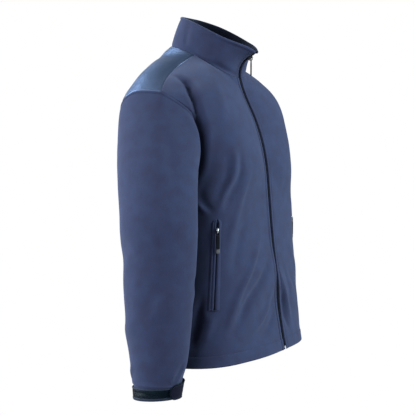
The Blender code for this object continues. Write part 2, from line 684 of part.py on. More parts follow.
# ---------------------------------------------------------------- pockets and cuffs
def body_point(side, across, z):
    """Point on a front's cloth with its folds, for lines that lie on it."""
    share = np.atleast_1d(across)
    height = np.atleast_1d(z)
    out = ring(angles(share, True), height)
    out = folded(out[:, None], share[:, None], side, "body", QUARTER)[:, 0]
    return out * np.array([float(side), 1.0, 1.0])


def pocket_line():
    """Places across and heights of the points down a pocket's middle."""
    share = np.linspace(0, 1, POCKET_STEPS + 1)
    across = POCKET_TOP[0] + share * (POCKET_END[0] - POCKET_TOP[0])
    z = POCKET_TOP[1] + share * (POCKET_END[1] - POCKET_TOP[1])
    return across, z


def pocket_frame(side):
    """Points down a pocket's middle on the front, with the directions along it and out of the cloth."""
    across, z = pocket_line()
    middle = body_point(side, across, z)
    rearward = body_point(side, across + REAR_STEP, z) - middle
    run = np.gradient(middle, axis=0)
    run /= np.linalg.norm(run, axis=1)[:, None]
    outward = np.cross(run, rearward) * side
    outward /= np.linalg.norm(outward, axis=1)[:, None]
    return middle, run, outward


def pocket_strip(name, side, edges, outward, thickness, group, finish):
    across, z = pocket_line()
    grid = np.stack([body_point(side, across + edge / QUARTER, z) for edge in edges], axis=1)
    normals = np.repeat(outward[:, None], 2, axis=1)
    if side > 0:
        grid = grid[:, ::-1]
    strip(name, grid + normals * (POCKET_GAP + thickness), normals, thickness, group, finish)


def pocket(side_name, side, group, cutters, finishes):
    middle, run, outward = pocket_frame(side)
    front = (-WELT_FRONT[1], -WELT_FRONT[0])
    zip_edges = (-POCKET_ZIP_HALF, POCKET_ZIP_HALF)
    pocket_strip("pocket_welt_rear_" + side_name, side, WELT_REAR, outward, WELT, group, finishes["fleece"])
    pocket_strip("pocket_welt_front_" + side_name, side, front, outward, WELT, group, finishes["fleece"])
    pocket_strip("pocket_zip_" + side_name, side, zip_edges, outward, POCKET_ZIP, group, finishes["tape"])
    step = int(np.argmin(np.abs(middle[:, 2] - POCKET_SLIDER_Z)))
    place = middle[step] + outward[step] * (POCKET_GAP + POCKET_ZIP)
    matrix = slider("pocket_slider_" + side_name, POCKET_SLIDER, place, -run[step], outward[step], group,
                    cutters, finishes["metal"])
    level = np.cross([0, 0, 1.0], outward[step])
    pull_tab("pocket_pull_" + side_name, pull_place(matrix, POCKET_SLIDER), level, POCKET_PULL, group,
             finishes["trim"])


def cuff_band(side_name, grid, group, finish):
    """Strip round the cuff, over two rows of the sleeve's outer points."""
    top_row = CAP_ROWS + 1 + TUBE_HEIGHTS.index(CUFF_BAND[0])
    rows = grid[top_row:top_row + 2]
    outward = rows - rows.mean(axis=1, keepdims=True)
    outward[..., 2] = 0
    outward /= np.linalg.norm(outward, axis=-1, keepdims=True)
    name = "cuff_band_" + side_name
    mesh = wall_mesh(name, rows + outward * (LAY_GAP + BAND), rows + outward * LAY_GAP, True)
    add_object(name, mesh, group, finish)


def cuff_tab(side_name, side, swing, group, finish):
    """Tab over the strip, from under the arm round the front to its rounded end."""
    share = np.linspace(0, 1, TAB_STEPS + 1)
    turn = 2 * math.pi * (TAB_SPAN[0] + share * (TAB_SPAN[1] - TAB_SPAN[0]))
    end_share = np.clip((share - TAB_ROUND_FROM) / (1 - TAB_ROUND_FROM), 0, 1)
    round_end = np.sqrt(np.clip(1 - end_share**2, TAB_BLUNT, 1))
    middle = (TAB_END_TOP + TAB_BOTTOM) / 2
    top = TAB_TOP + (TAB_END_TOP - TAB_TOP) * np.minimum(share / TAB_ROUND_FROM, 1)
    top = middle + (top - middle) * round_end
    bottom = middle + (TAB_BOTTOM - middle) * round_end
    lines = []
    for heights in (top, (top + bottom) / 2, bottom):
        lines.append([tube_ring(z, np.array([t]), swing)[0] for z, t in zip(heights, turn)])
    cuff = SLEEVE[-1]
    level = np.stack([-np.cos(turn) / cuff.half_x, -np.sin(turn) / cuff.half_y, 0 * turn], axis=-1)
    level /= np.linalg.norm(level, axis=1)[:, None]
    facing = np.array([float(side), 1.0, 1.0])
    inner = (np.array(lines) + level * (2 * LAY_GAP + BAND + TAB_LIFT)) * facing
    name = "cuff_tab_" + side_name
    mesh = wall_mesh(name, inner + level * facing * TAB, inner, False)
    add_object(name, mesh, group, finish)


# ---------------------------------------------------------------- the jacket
def front_zip(grids, group, cutters, finishes):
    line, _, outward = zip_line(grids)
    inner = TAPE_INNER
    outer = ZIP_HALF - 2 * SEAM_HALF_GAP
    zip_strip("zip_tape_right", line, outward, (-outer, -inner), TAPE_DEPTH, TAPE, group, finishes["tape"])
    zip_strip("zip_tape_left", line, outward, (inner, outer), TAPE_DEPTH, TAPE, group, finishes["tape"])
    zip_strip("zip_teeth", line, outward, (-TEETH_HALF, TEETH_HALF), TEETH_DEPTH, TEETH, group,
              finishes["trim"])
    stand = line[-COLLAR_ROWS - 1:]
    share = np.interp(SLIDER_HEIGHT, stand[:, 2], np.arange(len(stand)))
    low = int(share)
    run = stand[low + 1] - stand[low]
    place = stand[low] + (share - low) * run
    run /= np.linalg.norm(run)
    matrix = slider("zip_slider", FRONT_SLIDER, place, run, np.cross([1.0, 0, 0], run), group, cutters,
                    finishes["trim"])
    pull_tab("zip_pull", pull_place(matrix, FRONT_SLIDER), (1, 0, 0), FRONT_PULL, group, finishes["trim"])


def build():
    clear_scene()
    group = collection("fleece_zip_jacket")
    cutters = collection("cutters")
    finishes = {
        "fleece": material("navy_fleece", (0.052, 0.066, 0.110), 0.95),
        "shell": material("navy_shell", (0.045, 0.075, 0.115), 0.55),
        "trim": material("dark_trim", (0.010, 0.016, 0.026), 0.45),
        "tape": material("zip_tape", (0.018, 0.024, 0.040), 0.80),
        "metal": material("slider_metal", (0.50, 0.51, 0.53), 0.30, 1.0),
    }
    grids = garment_grids()
    normals, own, squareness = seam_normals(grids)
    for name, grid in grids.items():
        thickness = COLLAR_CLOTH if name == "collar" else FLEECE
        finish = finishes["shell" if name == "yoke" else "fleece"]
        cloth_piece(name, grid, normals[name], own[name], squareness[name], thickness, group, finish)
    front_zip(grids, group, cutters, finishes)
    for side_name, side, swing in (("right", -1, 0.0), ("left", 1, LEFT_SWING)):
        pocket(side_name, side, group, cutters, finishes)
        cuff_band(side_name, grids["sleeve_" + side_name], group, finishes["trim"])
        cuff_tab(side_name, side, swing, group, finishes["trim"])


build()
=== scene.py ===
"""Looks of the fleece zip jacket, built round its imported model. Metres, +Z up, the front faces -Y.

The cloth follows the surfaces of the model's solids, sampled finely, with its creases, seams and stitches
added in their own sizes. Places are in the model's frame.
"""
import json
import math
from collections import namedtuple

import bpy
import numpy as np
from mathutils import Matrix, Vector
from mathutils.kdtree import KDTree


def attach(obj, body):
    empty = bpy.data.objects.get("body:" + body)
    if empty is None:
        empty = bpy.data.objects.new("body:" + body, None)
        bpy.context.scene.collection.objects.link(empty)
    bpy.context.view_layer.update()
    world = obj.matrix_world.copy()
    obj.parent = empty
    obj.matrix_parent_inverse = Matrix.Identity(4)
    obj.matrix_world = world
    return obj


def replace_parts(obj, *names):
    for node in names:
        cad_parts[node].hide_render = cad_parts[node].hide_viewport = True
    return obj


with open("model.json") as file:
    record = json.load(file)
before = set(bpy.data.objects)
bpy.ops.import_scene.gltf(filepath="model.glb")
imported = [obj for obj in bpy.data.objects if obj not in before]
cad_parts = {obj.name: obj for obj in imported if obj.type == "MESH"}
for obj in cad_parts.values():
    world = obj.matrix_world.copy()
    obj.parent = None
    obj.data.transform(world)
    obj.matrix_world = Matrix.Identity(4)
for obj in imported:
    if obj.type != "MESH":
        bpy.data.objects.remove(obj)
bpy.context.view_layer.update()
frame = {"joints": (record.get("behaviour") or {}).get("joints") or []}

# ---------------------------------------------------------------- sizes shared with the model
FLEECE = 0.0024
COLLAR_CLOTH = 0.0040
ZIP_HALF = 0.0056
MIDDLE_WIDTH = 0.020       # how far the middle of the back and of the collar is eased
SQUARED_OVER = 0.045       # width of cloth beside the zip that moves along when its edge is made straight
QUARTER = 0.300
HEM_FRONT = -0.647
HEM_SIDE = -0.661
HEM_BACK = -0.672
ARMPIT = -0.315
LOW_GUIDE = -0.370
WAIST = -0.450
CORNER_FROM = 0.86
CORNER_RISE = 12          # the armpit's corner begins this share of the way below it, as one part in so many
FADE_FROM = 0.75          # share of the way up to the armpit from which the large folds fade

Girth = namedtuple("Girth", "z half_width front back widest square_front square_back")
GIRTHS = (
    Girth(-0.700, 0.229, 0.2040, 0.112, 0.000, 2.7, 2.4),
    Girth(-0.648, 0.228, 0.1965, 0.115, 0.000, 2.75, 2.4),
    Girth(-0.590, 0.226, 0.1860, 0.119, 0.000, 2.75, 2.4),
    Girth(-0.530, 0.224, 0.1775, 0.124, 0.000, 2.85, 2.4),
    Girth(-0.450, 0.221, 0.1695, 0.130, 0.002, 3.1, 2.5),
    Girth(-0.376, 0.216, 0.1615, 0.134, 0.003, 3.3, 2.5),
    Girth(-0.315, 0.210, 0.1560, 0.136, 0.005, 3.4, 2.5),
)
Section = namedtuple("Section", "centre chest_1 chest_2 chest_3 armhole")
FRONT_SECTIONS = (
    Section((0.0, -0.1490, -0.250), (0.062, -0.1560, -0.250), (0.130, -0.1515, -0.250),
            (0.175, -0.1150, -0.250), (0.202, -0.0600, -0.270)),
    Section((0.0, -0.1385, -0.192), (0.062, -0.1470, -0.190), (0.130, -0.1450, -0.187),
            (0.170, -0.1180, -0.187), (0.193, -0.0830, -0.198)),
    Section((0.0, -0.1190, -0.136), (0.060, -0.1290, -0.128), (0.122, -0.1270, -0.122),
            (0.170, -0.1090, -0.120), (0.201, -0.0790, -0.131)),
    Section((0.0, -0.0965, -0.087), (0.056, -0.0990, -0.073), (0.112, -0.0930, -0.063),
            (0.166, -0.0790, -0.073), (0.219, -0.0470, -0.099)),
    Section((0.0, -0.0886, -0.0644), (0.058, -0.0780, -0.0420), (0.104, -0.0585, -0.0290),
            (0.163, -0.0430, -0.0545), (0.227, -0.0317, -0.0882)),
)
BACK_SECTIONS = (
    Section((0.0, 0.1430, -0.252), (0.070, 0.1390, -0.252), (0.130, 0.1270, -0.252),
            (0.175, 0.1060, -0.252), (0.203, 0.0640, -0.272)),
    Section((0.0, 0.1440, -0.190), (0.070, 0.1400, -0.190), (0.130, 0.1300, -0.190),
            (0.175, 0.1160, -0.190), (0.202, 0.0930, -0.205)),
    Section((0.0, 0.1400, -0.125), (0.070, 0.1370, -0.125), (0.130, 0.1290, -0.125),
            (0.178, 0.1180, -0.127), (0.213, 0.0980, -0.145)),
    Section((0.0, 0.1270, -0.056), (0.065, 0.1220, -0.056), (0.124, 0.1120, -0.064),
            (0.182, 0.0980, -0.074), (0.229, 0.0820, -0.096)),
    Section((0.0, 0.1080, 0.000), (0.058, 0.0960, 0.000), (0.104, 0.0780, -0.006),
            (0.172, 0.0620, -0.034), (0.237, 0.0480, -0.0775)),
    Section((0.0, 0.0985, 0.019), (0.057, 0.0800, 0.016), (0.097, 0.0220, -0.001),
            (0.168, 0.0230, -0.033), (0.2385, 0.0180, -0.0760)),
)
NECK_CORNER = (0.072, -0.0050, 0.0070)
SHOULDER_CORNER = (0.235, -0.0156, -0.0785)
ARMPIT_CORNER = (0.2175, -0.0020, -0.3130)
NECK_FRONT = ((0.0, -0.0815, -0.0415), (0.038, -0.0795, -0.0385), (0.063, -0.0575, -0.0225), NECK_CORNER)
NECK_BACK = ((0.0, 0.0835, 0.0350), (0.046, 0.0665, 0.0310), (0.067, 0.0330, 0.0215), NECK_CORNER)
SHOULDER_SEAM = (NECK_CORNER, (0.130, 0.0060, -0.0215), (0.195, -0.0020, -0.0540), SHOULDER_CORNER)
NECK_SHARE_FRONT = 0.40
NECK_SHARE_BACK = 0.45
COLLAR_TOP = ((0.0, -0.1255, 0.0135), (0.019, -0.1150, 0.0230), (0.040, -0.1000, 0.0310),
              (0.060, -0.0720, 0.0440), (0.0685, -0.0350, 0.0630), (0.064, 0.0050, 0.0820),
              (0.046, 0.0400, 0.0950), (0.0, 0.0590, 0.1000))
COLLAR_LEAN = (3.0, 1.25)

Bore = namedtuple("Bore", "z centre_x centre_y half_x half_y rise")
SLEEVE = (
    Bore(-0.365, 0.2905, -0.0415, 0.0630, 0.0850, 0.0),
    Bore(-0.430, 0.2905, -0.0420, 0.0610, 0.0815, 0.0),
    Bore(-0.510, 0.2905, -0.0415, 0.0580, 0.0748, 0.0),
    Bore(-0.580, 0.2900, -0.0410, 0.0530, 0.0682, 0.0005),
    Bore(-0.640, 0.2895, -0.0395, 0.0465, 0.0615, 0.0025),
    Bore(-0.672, 0.2890, -0.0370, 0.0425, 0.0550, 0.0040),
    Bore(-0.710, 0.2885, -0.0345, 0.0390, 0.0498, 0.0045),
)
SWINGS = {"right": 0.0, "left": 0.055}
SIDES = {"right": -1, "left": 1}
CapStart = namedtuple("CapStart", "out to_front to_back down down_on_top")
CAP_START = CapStart(0.40, 0.20, 0.00, 0.16, 0.66)
CAP_PULL = (0.62, 0.95)

# The large folds of the model. Each row is a fold's height, its width and the places of its two ends, in the
# way of the creases below.
FOLDS = {
    ("body", -1): (
        (0.0045, 0.036, (0.26, -0.235), (0.50, -0.330)),
        (0.0050, 0.036, (0.06, -0.470), (0.54, -0.600)),
        (-0.0040, 0.034, (0.14, -0.540), (0.46, -0.640)),
        (-0.0060, 0.036, (0.86, -0.360), (0.92, -0.560)),
        (0.0050, 0.038, (1.35, -0.300), (1.72, -0.430)),
    ),
    ("body", 1): (
        (0.0040, 0.036, (0.26, -0.250), (0.52, -0.350)),
        (0.0045, 0.036, (0.10, -0.500), (0.56, -0.590)),
        (-0.0055, 0.036, (0.88, -0.380), (0.93, -0.580)),
        (0.0050, 0.038, (1.30, -0.310), (1.66, -0.450)),
        (-0.0045, 0.036, (1.45, -0.480), (1.95, -0.560)),
    ),
    ("sleeve", -1): (
        (-0.0035, 0.026, (0.30, -0.420), (0.46, -0.500)),
        (-0.0040, 0.026, (0.62, -0.400), (0.80, -0.470)),
        (0.0030, 0.024, (0.60, -0.560), (0.78, -0.610)),
    ),
    ("sleeve", 1): (
        (-0.0035, 0.026, (0.26, -0.430), (0.42, -0.510)),
        (-0.0040, 0.026, (0.60, -0.410), (0.78, -0.480)),
    ),
}
CUFF_BAND = (-0.684, -0.7075)

# ---------------------------------------------------------------- fine sampling
EDGE_STEPS = (0.0005, 0.0012, 0.0022, 0.0036)        # extra lines of points beside an edge
STITCH_STEPS = (-0.0020, -0.0010, 0.0, 0.0010, 0.0020)   # and across a stitched line
BAND_STEPS = (0.0, 0.0012, 0.0024, 0.0036, 0.0048, 0.0060, 0.0075)   # and above the cuff's strip
HEM_STITCH = 0.025         # above the hem
ZIP_STITCH = 0.0085        # from a front's edge
ARM_STITCH = 0.0065        # from the armhole, on the sleeve
LOW_STEPS = 88
FRONT_STEPS = (12, 12, 12, 12, 6, 6)
BACK_STEPS = (12, 12, 12, 16, 12, 6, 10)
FRONT_REACH = 0.040        # length of the cloth between the last two guides of a front
SEAM_REACH = (0.075, 0.060)  # and on either side of the yoke's lower seam
YOKE_REACH = 0.045
BACK_GUIDES = 4            # of them below the yoke
CAP_STEPS = 58
CAP_REACH = 0.26
TUBE_STEP = 0.0042
COLLAR_STEPS = 20
COLLAR_REACH = 0.070
COLLAR_TURN = (0.005, 0.006)   # extra lines of points below the collar's top
COLLAR_EASED = 0.3         # share of its height over which its middle becomes eased

# ---------------------------------------------------------------- creases
# Places are (a, b). On the body a runs from 0 at the centre front over 1 at the side seam to 2 at the centre
# back, negative on the wearer's right, and b is the height. On a sleeve a is the turn from under the arm over
# 0.25 in front and 0.5 outside, and b the height. On the yoke b is the share of its depth from the back, and
# on the collar the share of its height. Each row is a crease's height, its width and its places, and a
# negative height is a trough.
CREASES = {
    "front_right": (
        (-0.0040, 0.0070, (-0.780, -0.285), (-0.721, -0.303), (-0.646, -0.323), (-0.600, -0.334)),
        (0.0034, 0.0065, (-0.760, -0.305), (-0.711, -0.319), (-0.650, -0.333)),
        (0.0052, 0.0080, (-0.575, -0.195), (-0.585, -0.245), (-0.575, -0.290), (-0.582, -0.327)),
        (-0.0050, 0.0090, (-0.500, -0.200), (-0.512, -0.250), (-0.512, -0.300), (-0.540, -0.332)),
        (-0.0032, 0.0090, (-0.665, -0.205), (-0.650, -0.255), (-0.610, -0.312)),
        (0.0046, 0.0105, (-0.400, -0.235), (-0.405, -0.300), (-0.454, -0.353), (-0.520, -0.403)),
        (-0.0044, 0.0115, (-0.330, -0.350), (-0.420, -0.400), (-0.500, -0.465)),
        (0.0084, 0.0090, (-0.185, -0.395), (-0.325, -0.452), (-0.440, -0.498), (-0.507, -0.538),
         (-0.561, -0.590)),
        (-0.0100, 0.0105, (-0.095, -0.445), (-0.255, -0.493), (-0.382, -0.524), (-0.475, -0.564),
         (-0.550, -0.602)),
        (0.0060, 0.0085, (-0.090, -0.510), (-0.235, -0.556), (-0.391, -0.590)),
        (-0.0046, 0.0080, (-0.080, -0.560), (-0.200, -0.592), (-0.330, -0.612)),
        (-0.0110, 0.0115, (-0.655, -0.500), (-0.705, -0.542), (-0.743, -0.580), (-0.765, -0.625)),
        (0.0040, 0.0085, (-0.610, -0.545), (-0.655, -0.570), (-0.690, -0.605)),
        (0.0030, 0.0075, (-0.735, -0.505), (-0.775, -0.545), (-0.800, -0.590)),
        (0.0034, 0.0150, (-0.500, -0.035), (-0.580, -0.070), (-0.640, -0.115), (-0.660, -0.160)),
        (-0.0050, 0.0170, (-0.840, -0.400), (-0.860, -0.470), (-0.830, -0.560)),
    ),
    "front_left": (
        (0.0058, 0.0080, (0.030, -0.465), (0.075, -0.505), (0.128, -0.538), (0.200, -0.590)),
        (-0.0068, 0.0085, (0.035, -0.505), (0.080, -0.545), (0.110, -0.575), (0.150, -0.610)),
        (-0.0026, 0.0090, (0.100, -0.455), (0.170, -0.500), (0.230, -0.545)),
        (0.0020, 0.0130, (0.520, -0.230), (0.560, -0.285), (0.600, -0.335)),
        (-0.0034, 0.0110, (0.660, -0.215), (0.690, -0.270), (0.655, -0.325)),
        (-0.0040, 0.0080, (0.800, -0.282), (0.720, -0.308), (0.640, -0.332)),
        (0.0030, 0.0120, (0.260, -0.420), (0.420, -0.480), (0.520, -0.550)),
        (-0.0036, 0.0115, (0.200, -0.475), (0.380, -0.530), (0.490, -0.600)),
        (-0.0070, 0.0110, (0.640, -0.520), (0.700, -0.565), (0.750, -0.622)),
        (0.0038, 0.0090, (0.590, -0.550), (0.640, -0.580), (0.680, -0.615)),
        (0.0030, 0.0150, (0.500, -0.035), (0.600, -0.078), (0.650, -0.140)),
    ),
    "back": (
        (0.0036, 0.014, (-1.14, -0.255), (-1.32, -0.300), (-1.50, -0.362), (-1.66, -0.440)),
        (-0.0034, 0.014, (-1.10, -0.300), (-1.26, -0.345), (-1.42, -0.410), (-1.52, -0.480)),
        (0.0030, 0.012, (-1.12, -0.350), (-1.24, -0.400), (-1.34, -0.470)),
        (0.0034, 0.014, (1.12, -0.262), (1.30, -0.312), (1.47, -0.380), (1.58, -0.450)),
        (-0.0034, 0.013, (1.10, -0.310), (1.25, -0.362), (1.38, -0.440)),
        (-0.0030, 0.015, (-1.88, -0.470), (-1.99, -0.486), (1.86, -0.500), (1.72, -0.520)),
        (0.0030, 0.015, (-1.80, -0.520), (-1.95, -0.538), (1.90, -0.545), (1.70, -0.585)),
        (-0.0026, 0.018, (-1.70, -0.120), (-1.62, -0.190), (-1.66, -0.270)),
        (-0.0026, 0.018, (1.66, -0.110), (1.60, -0.185), (1.67, -0.255)),
        (0.0024, 0.012, (-1.28, -0.560), (-1.38, -0.600), (-1.44, -0.640)),
        (0.0024, 0.012, (1.30, -0.550), (1.36, -0.590), (1.46, -0.635)),
    ),
    "sleeve_right": (
        (0.0024, 0.0060, (0.235, -0.628), (0.265, -0.646), (0.290, -0.664), (0.305, -0.678)),
        (-0.0022, 0.0055, (0.270, -0.628), (0.292, -0.648), (0.315, -0.664)),
        (0.0018, 0.0055, (0.325, -0.640), (0.345, -0.660), (0.350, -0.676)),
        (-0.0016, 0.012, (0.33, -0.552), (0.40, -0.546), (0.47, -0.538)),
        (0.0016, 0.014, (0.34, -0.470), (0.41, -0.500), (0.45, -0.540)),
        (-0.0030, 0.011, (0.02, -0.455), (0.12, -0.470), (0.22, -0.462)),
        (0.0030, 0.010, (-0.04, -0.490), (0.08, -0.500), (0.19, -0.492)),
        (-0.0026, 0.010, (0.00, -0.525), (0.10, -0.530), (0.20, -0.518)),
        (-0.0024, 0.012, (0.70, -0.440), (0.80, -0.470), (0.90, -0.480)),
        (0.0022, 0.011, (0.66, -0.555), (0.74, -0.585), (0.84, -0.600)),
        (0.0024, 0.007, (0.62, -0.640), (0.66, -0.660), (0.67, -0.676)),
        (0.0022, 0.007, (0.80, -0.645), (0.82, -0.662), (0.815, -0.677)),
        (-0.0022, 0.013, (0.44, -0.150), (0.40, -0.210), (0.38, -0.280)),
    ),
    "sleeve_left": (
        (0.0024, 0.0060, (0.225, -0.630), (0.255, -0.648), (0.285, -0.666), (0.300, -0.678)),
        (0.0018, 0.0055, (0.330, -0.640), (0.350, -0.658), (0.355, -0.676)),
        (-0.0020, 0.013, (0.35, -0.500), (0.43, -0.520), (0.50, -0.515)),
        (-0.0030, 0.011, (0.00, -0.450), (0.11, -0.468), (0.22, -0.464)),
        (0.0030, 0.010, (-0.03, -0.488), (0.09, -0.503), (0.20, -0.497)),
        (-0.0026, 0.012, (0.68, -0.430), (0.79, -0.462), (0.88, -0.470)),
        (0.0024, 0.011, (0.63, -0.540), (0.72, -0.572), (0.83, -0.590)),
        (0.0024, 0.007, (0.61, -0.645), (0.65, -0.662), (0.655, -0.677)),
        (0.0022, 0.007, (0.78, -0.642), (0.81, -0.662), (0.80, -0.677)),
    ),
    "yoke": (
        (-0.0009, 0.012, (-1.50, 0.90), (-1.30, 0.84), (-1.10, 0.84)),
        (-0.0009, 0.012, (1.52, 0.90), (1.32, 0.84), (1.12, 0.84)),
    ),
    "collar": (
        (0.0014, 0.011, (0.30, 0.18), (0.36, 0.45), (0.37, 0.75)),
        (-0.0012, 0.010, (0.40, 0.20), (0.46, 0.50), (0.50, 0.70)),
        (0.0014, 0.011, (1.62, 0.22), (1.66, 0.48), (1.67, 0.78)),
        (-0.0012, 0.008, (1.30, 0.78), (1.33, 0.45), (1.36, 0.15)),
    ),
}
# What the heights of a piece's creases are multiplied by.
CREASE_GAIN = {"front_left": 1.0, "front_right": 1.0, "back": 2.2, "yoke": 2.0, "collar": 2.0,
               "sleeve_left": 1.2, "sleeve_right": 1.2}
BODY_PIECES = ("front_left", "front_right", "back", "yoke")
CREASE_GROUPS = (BODY_PIECES, ("sleeve_left",), ("sleeve_right",), ("collar",))
CREASE_ENDS = 0.75         # how soon a crease dies out at its ends
CREASE_POINTS = 28         # along its line
AROUND = 0.4               # length of a sleeve's or the collar's cloth for 1 in a, where places are looked up


# ---------------------------------------------------------------- curves and surfaces
def cubic(t, start, start_slope, end, end_slope):
    return ((2 * t**3 - 3 * t**2 + 1) * start + (t**3 - 2 * t**2 + t) * start_slope
            + (3 * t**2 - 2 * t**3) * end + (t**3 - t**2) * end_slope)


def spline(knots, values, at):
    """Cubic curve through values at knots, with the slope at each taken from its two neighbours."""
    knots = np.asarray(knots, float)
    values = np.asarray(values, float)
    at = np.atleast_1d(np.asarray(at, float))
    column = (-1,) + (1,) * (values.ndim - 1)
    step = np.diff(knots)
    rise = np.diff(values, axis=0) / step.reshape(column)
    slope = np.empty_like(values)
    weight = (step[:-1] / (step[:-1] + step[1:])).reshape(column)
    slope[1:-1] = (1 - weight) * rise[:-1] + weight * rise[1:]
    slope[0] = 1.5 * rise[0] - 0.5 * slope[1]
    slope[-1] = 1.5 * rise[-1] - 0.5 * slope[-2]
    k = np.clip(np.searchsorted(knots, at, side="right") - 1, 0, len(step) - 1)
    h = step[k]
    t = ((at - knots[k]) / h).reshape(column)
    h = h.reshape(column)
    return cubic(t, values[k], h * slope[k], values[k + 1], h * slope[k + 1])


def lengths(points):
    return np.concatenate([[0], np.cumsum(np.linalg.norm(np.diff(points, axis=0), axis=1))])


def along(points, shares):
    points = np.asarray(points, float)
    run = lengths(points)
    return spline(run / run[-1], points, shares)


def picked(values, run, at):
    """Rows of values at distances along their run."""
    return np.stack([np.interp(at, run, values[:, i]) for i in range(3)], axis=-1)


def smooth(t):
    t = np.clip(t, 0, 1)
    return t * t * (3 - 2 * t)


def grown(value, start, whole):
    """Growth from 0 at the start to 1 where it is whole."""
    return smooth((value - start) / (whole - start))


def turns(count):
    """Angles of a full turn, in equal steps."""
    return np.linspace(0, 2 * math.pi, count, endpoint=False)


def squarish(values, power):
    """Sines or cosines drawn out, which makes a circle nearly square."""
    return np.sign(values) * np.abs(values) ** power


def unit(vectors):
    return vectors / np.maximum(np.linalg.norm(vectors, axis=-1, keepdims=True), 1e-12)


def ring(angle, z):
    """Point of the body at an angle (0 centre front, pi / 2 side seam, pi centre back) and a height."""
    table = np.array(GIRTHS)
    half, front, back, widest, square_front, square_back = spline(table[:, 0], table[:, 1:], z).T
    c = np.cos(angle)
    n = np.where(c >= 0, square_front, square_back)
    depth = np.where(c >= 0, -(front + widest), back - widest)
    x = half * np.abs(np.sin(angle)) ** (2 / n)
    y = widest + depth * np.abs(c) ** (2 / n)
    return np.stack([x, y, np.asarray(z, float) + 0 * x], axis=-1)


def angles(shares, is_front):
    dense = np.linspace(0, math.pi / 2, 2001)
    if not is_front:
        dense = math.pi - dense
    run = lengths(ring(dense, np.full(dense.shape, WAIST)))
    return np.interp(np.asarray(shares) * run[-1], run, dense)


def hem_height(angle):
    c = np.cos(angle)
    return HEM_SIDE + c**2 * np.where(c > 0, HEM_FRONT - HEM_SIDE, HEM_BACK - HEM_SIDE)


def top_edge(neck, corner, shares):
    at_neck = shares <= corner + 1e-9
    edge = np.empty((len(shares), 3))
    edge[at_neck] = along(neck, shares[at_neck] / corner)
    edge[~at_neck] = along(SHOULDER_SEAM, (shares[~at_neck] - corner) / (1 - corner))
    return edge


def body_half(is_front, shares, low, high):
    """Left half of the fronts, or of the back with its yoke: rows from the hem up, low by their share of the
    way to the armpit and high by their place between the guides."""
    angle = angles(shares, is_front)
    hem = hem_height(angle)
    reach = np.clip((shares - CORNER_FROM) / (1 - CORNER_FROM), 0, 1) ** 2
    at_armpit = ring(angle, hem + (ARMPIT - hem))
    corner = reach[:, None] * (np.array(ARMPIT_CORNER) - at_armpit[-1])
    bends = np.clip((low - 1) * CORNER_RISE + 1, 0, 1) ** 2
    rows = [ring(angle, hem + share * (ARMPIT - hem)) + bend * corner for share, bend in zip(low, bends)]
    sections = FRONT_SECTIONS if is_front else BACK_SECTIONS
    neck, neck_share = (NECK_FRONT, NECK_SHARE_FRONT) if is_front else (NECK_BACK, NECK_SHARE_BACK)
    guides = [ring(angle, np.full(len(shares), LOW_GUIDE)), at_armpit + corner]
    guides += [spline(np.linspace(0, 1, len(section)), np.array(section), shares) for section in sections]
    guides = np.array(guides + [top_edge(neck, neck_share, shares)])
    upper = np.empty((len(high), len(shares), 3))
    for column in range(len(shares)):
        knots = lengths(guides[:, column])
        at = np.interp(high, np.arange(len(guides)), knots)
        upper[:, column] = spline(knots, guides[:, column], at)
    return np.concatenate([np.array(rows), upper])


def tube_ring(z, turn, swing):
    table = np.array(SLEEVE)[::-1]
    centre_x, centre_y, half_x, half_y, rise = spline(table[:, 0], table[:, 1:], z)[0]
    x = centre_x - half_x * np.cos(turn)
    y = centre_y + swing - half_y * np.sin(turn)
    return np.stack([x, y, z + rise * np.sin(turn)], axis=-1)


EASE_WIDTH = 0.022         # how far the armhole's corners are eased in the sleeve
EASED_FROM = 0.22


def sleeve_half(armhole, swing, cap, heights):
    run = lengths(np.vstack([armhole, armhole[:1]]))
    shares = (np.diff(run) + np.roll(np.diff(run), 1)) / 2
    apart = np.abs(run[:-1, None] - run[None, :-1])
    weights = np.exp(-(np.minimum(apart, run[-1] - apart) / EASE_WIDTH) ** 2) * shares
    eased = weights @ armhole / weights.sum(axis=1)[:, None]
    turn = 2 * math.pi * run[:-1] / run[-1]
    first = tube_ring(SLEEVE[0].z, turn, swing)
    over = (1 - np.cos(turn)) / 2
    sideways = np.where(np.sin(turn) > 0, CAP_START.to_front, CAP_START.to_back)
    down = CAP_START.down + CAP_START.down_on_top * over
    start = np.stack([CAP_START.out + 0 * over, -sideways * np.sin(turn), -down], axis=-1)
    start /= np.linalg.norm(start, axis=1)[:, None]
    reach = np.linalg.norm(first - eased, axis=1)[:, None]
    start = start * reach * CAP_PULL[0]
    end = np.array([0, 0, -1.0]) * reach * CAP_PULL[1]
    rows = [cubic(t, eased, start, first, end) + (1 - smooth(t / EASED_FROM)) * (armhole - eased)
            for t in cap]
    rows += [tube_ring(z, turn, swing) for z in heights]
    return np.array(rows), turn


def collar_half(base, shares_up):
    share = lengths(base) / lengths(base)[-1]
    top = along(COLLAR_TOP, share)
    late_front, late_back = COLLAR_LEAN
    lean = late_back + (late_front - late_back) * (1 - share) ** 4
    rows = []
    for v in shares_up:
        row = base + v * (top - base)
        row[:, 1] = base[:, 1] + v**lean * (top - base)[:, 1]
        rows.append(row)
    return np.array(rows)


def fold_height(piece, side, across, z, around):
    """Height of the large folds at places on the cloth; around is the cloth's length for 1 across."""
    total = np.zeros(np.broadcast(across, z).shape)
    for height, width, *ends in FOLDS[piece, side]:
        start, end = np.array(ends) * (around, 1.0)
        run = end - start
        place = np.stack([across * around + 0 * z, z + 0 * across], axis=-1) - start
        reached = np.clip(place @ run / (run @ run), 0, 1)
        distance = np.linalg.norm(place - reached[..., None] * run, axis=-1)
        total += height * groove(distance, 0, width)
    return total


def raised(points, height, centre=(0.0, 0.0)):
    outward = unit(points[..., :2] - np.array(centre))
    moved = points.copy()
    moved[..., :2] += height[..., None] * outward
    return moved


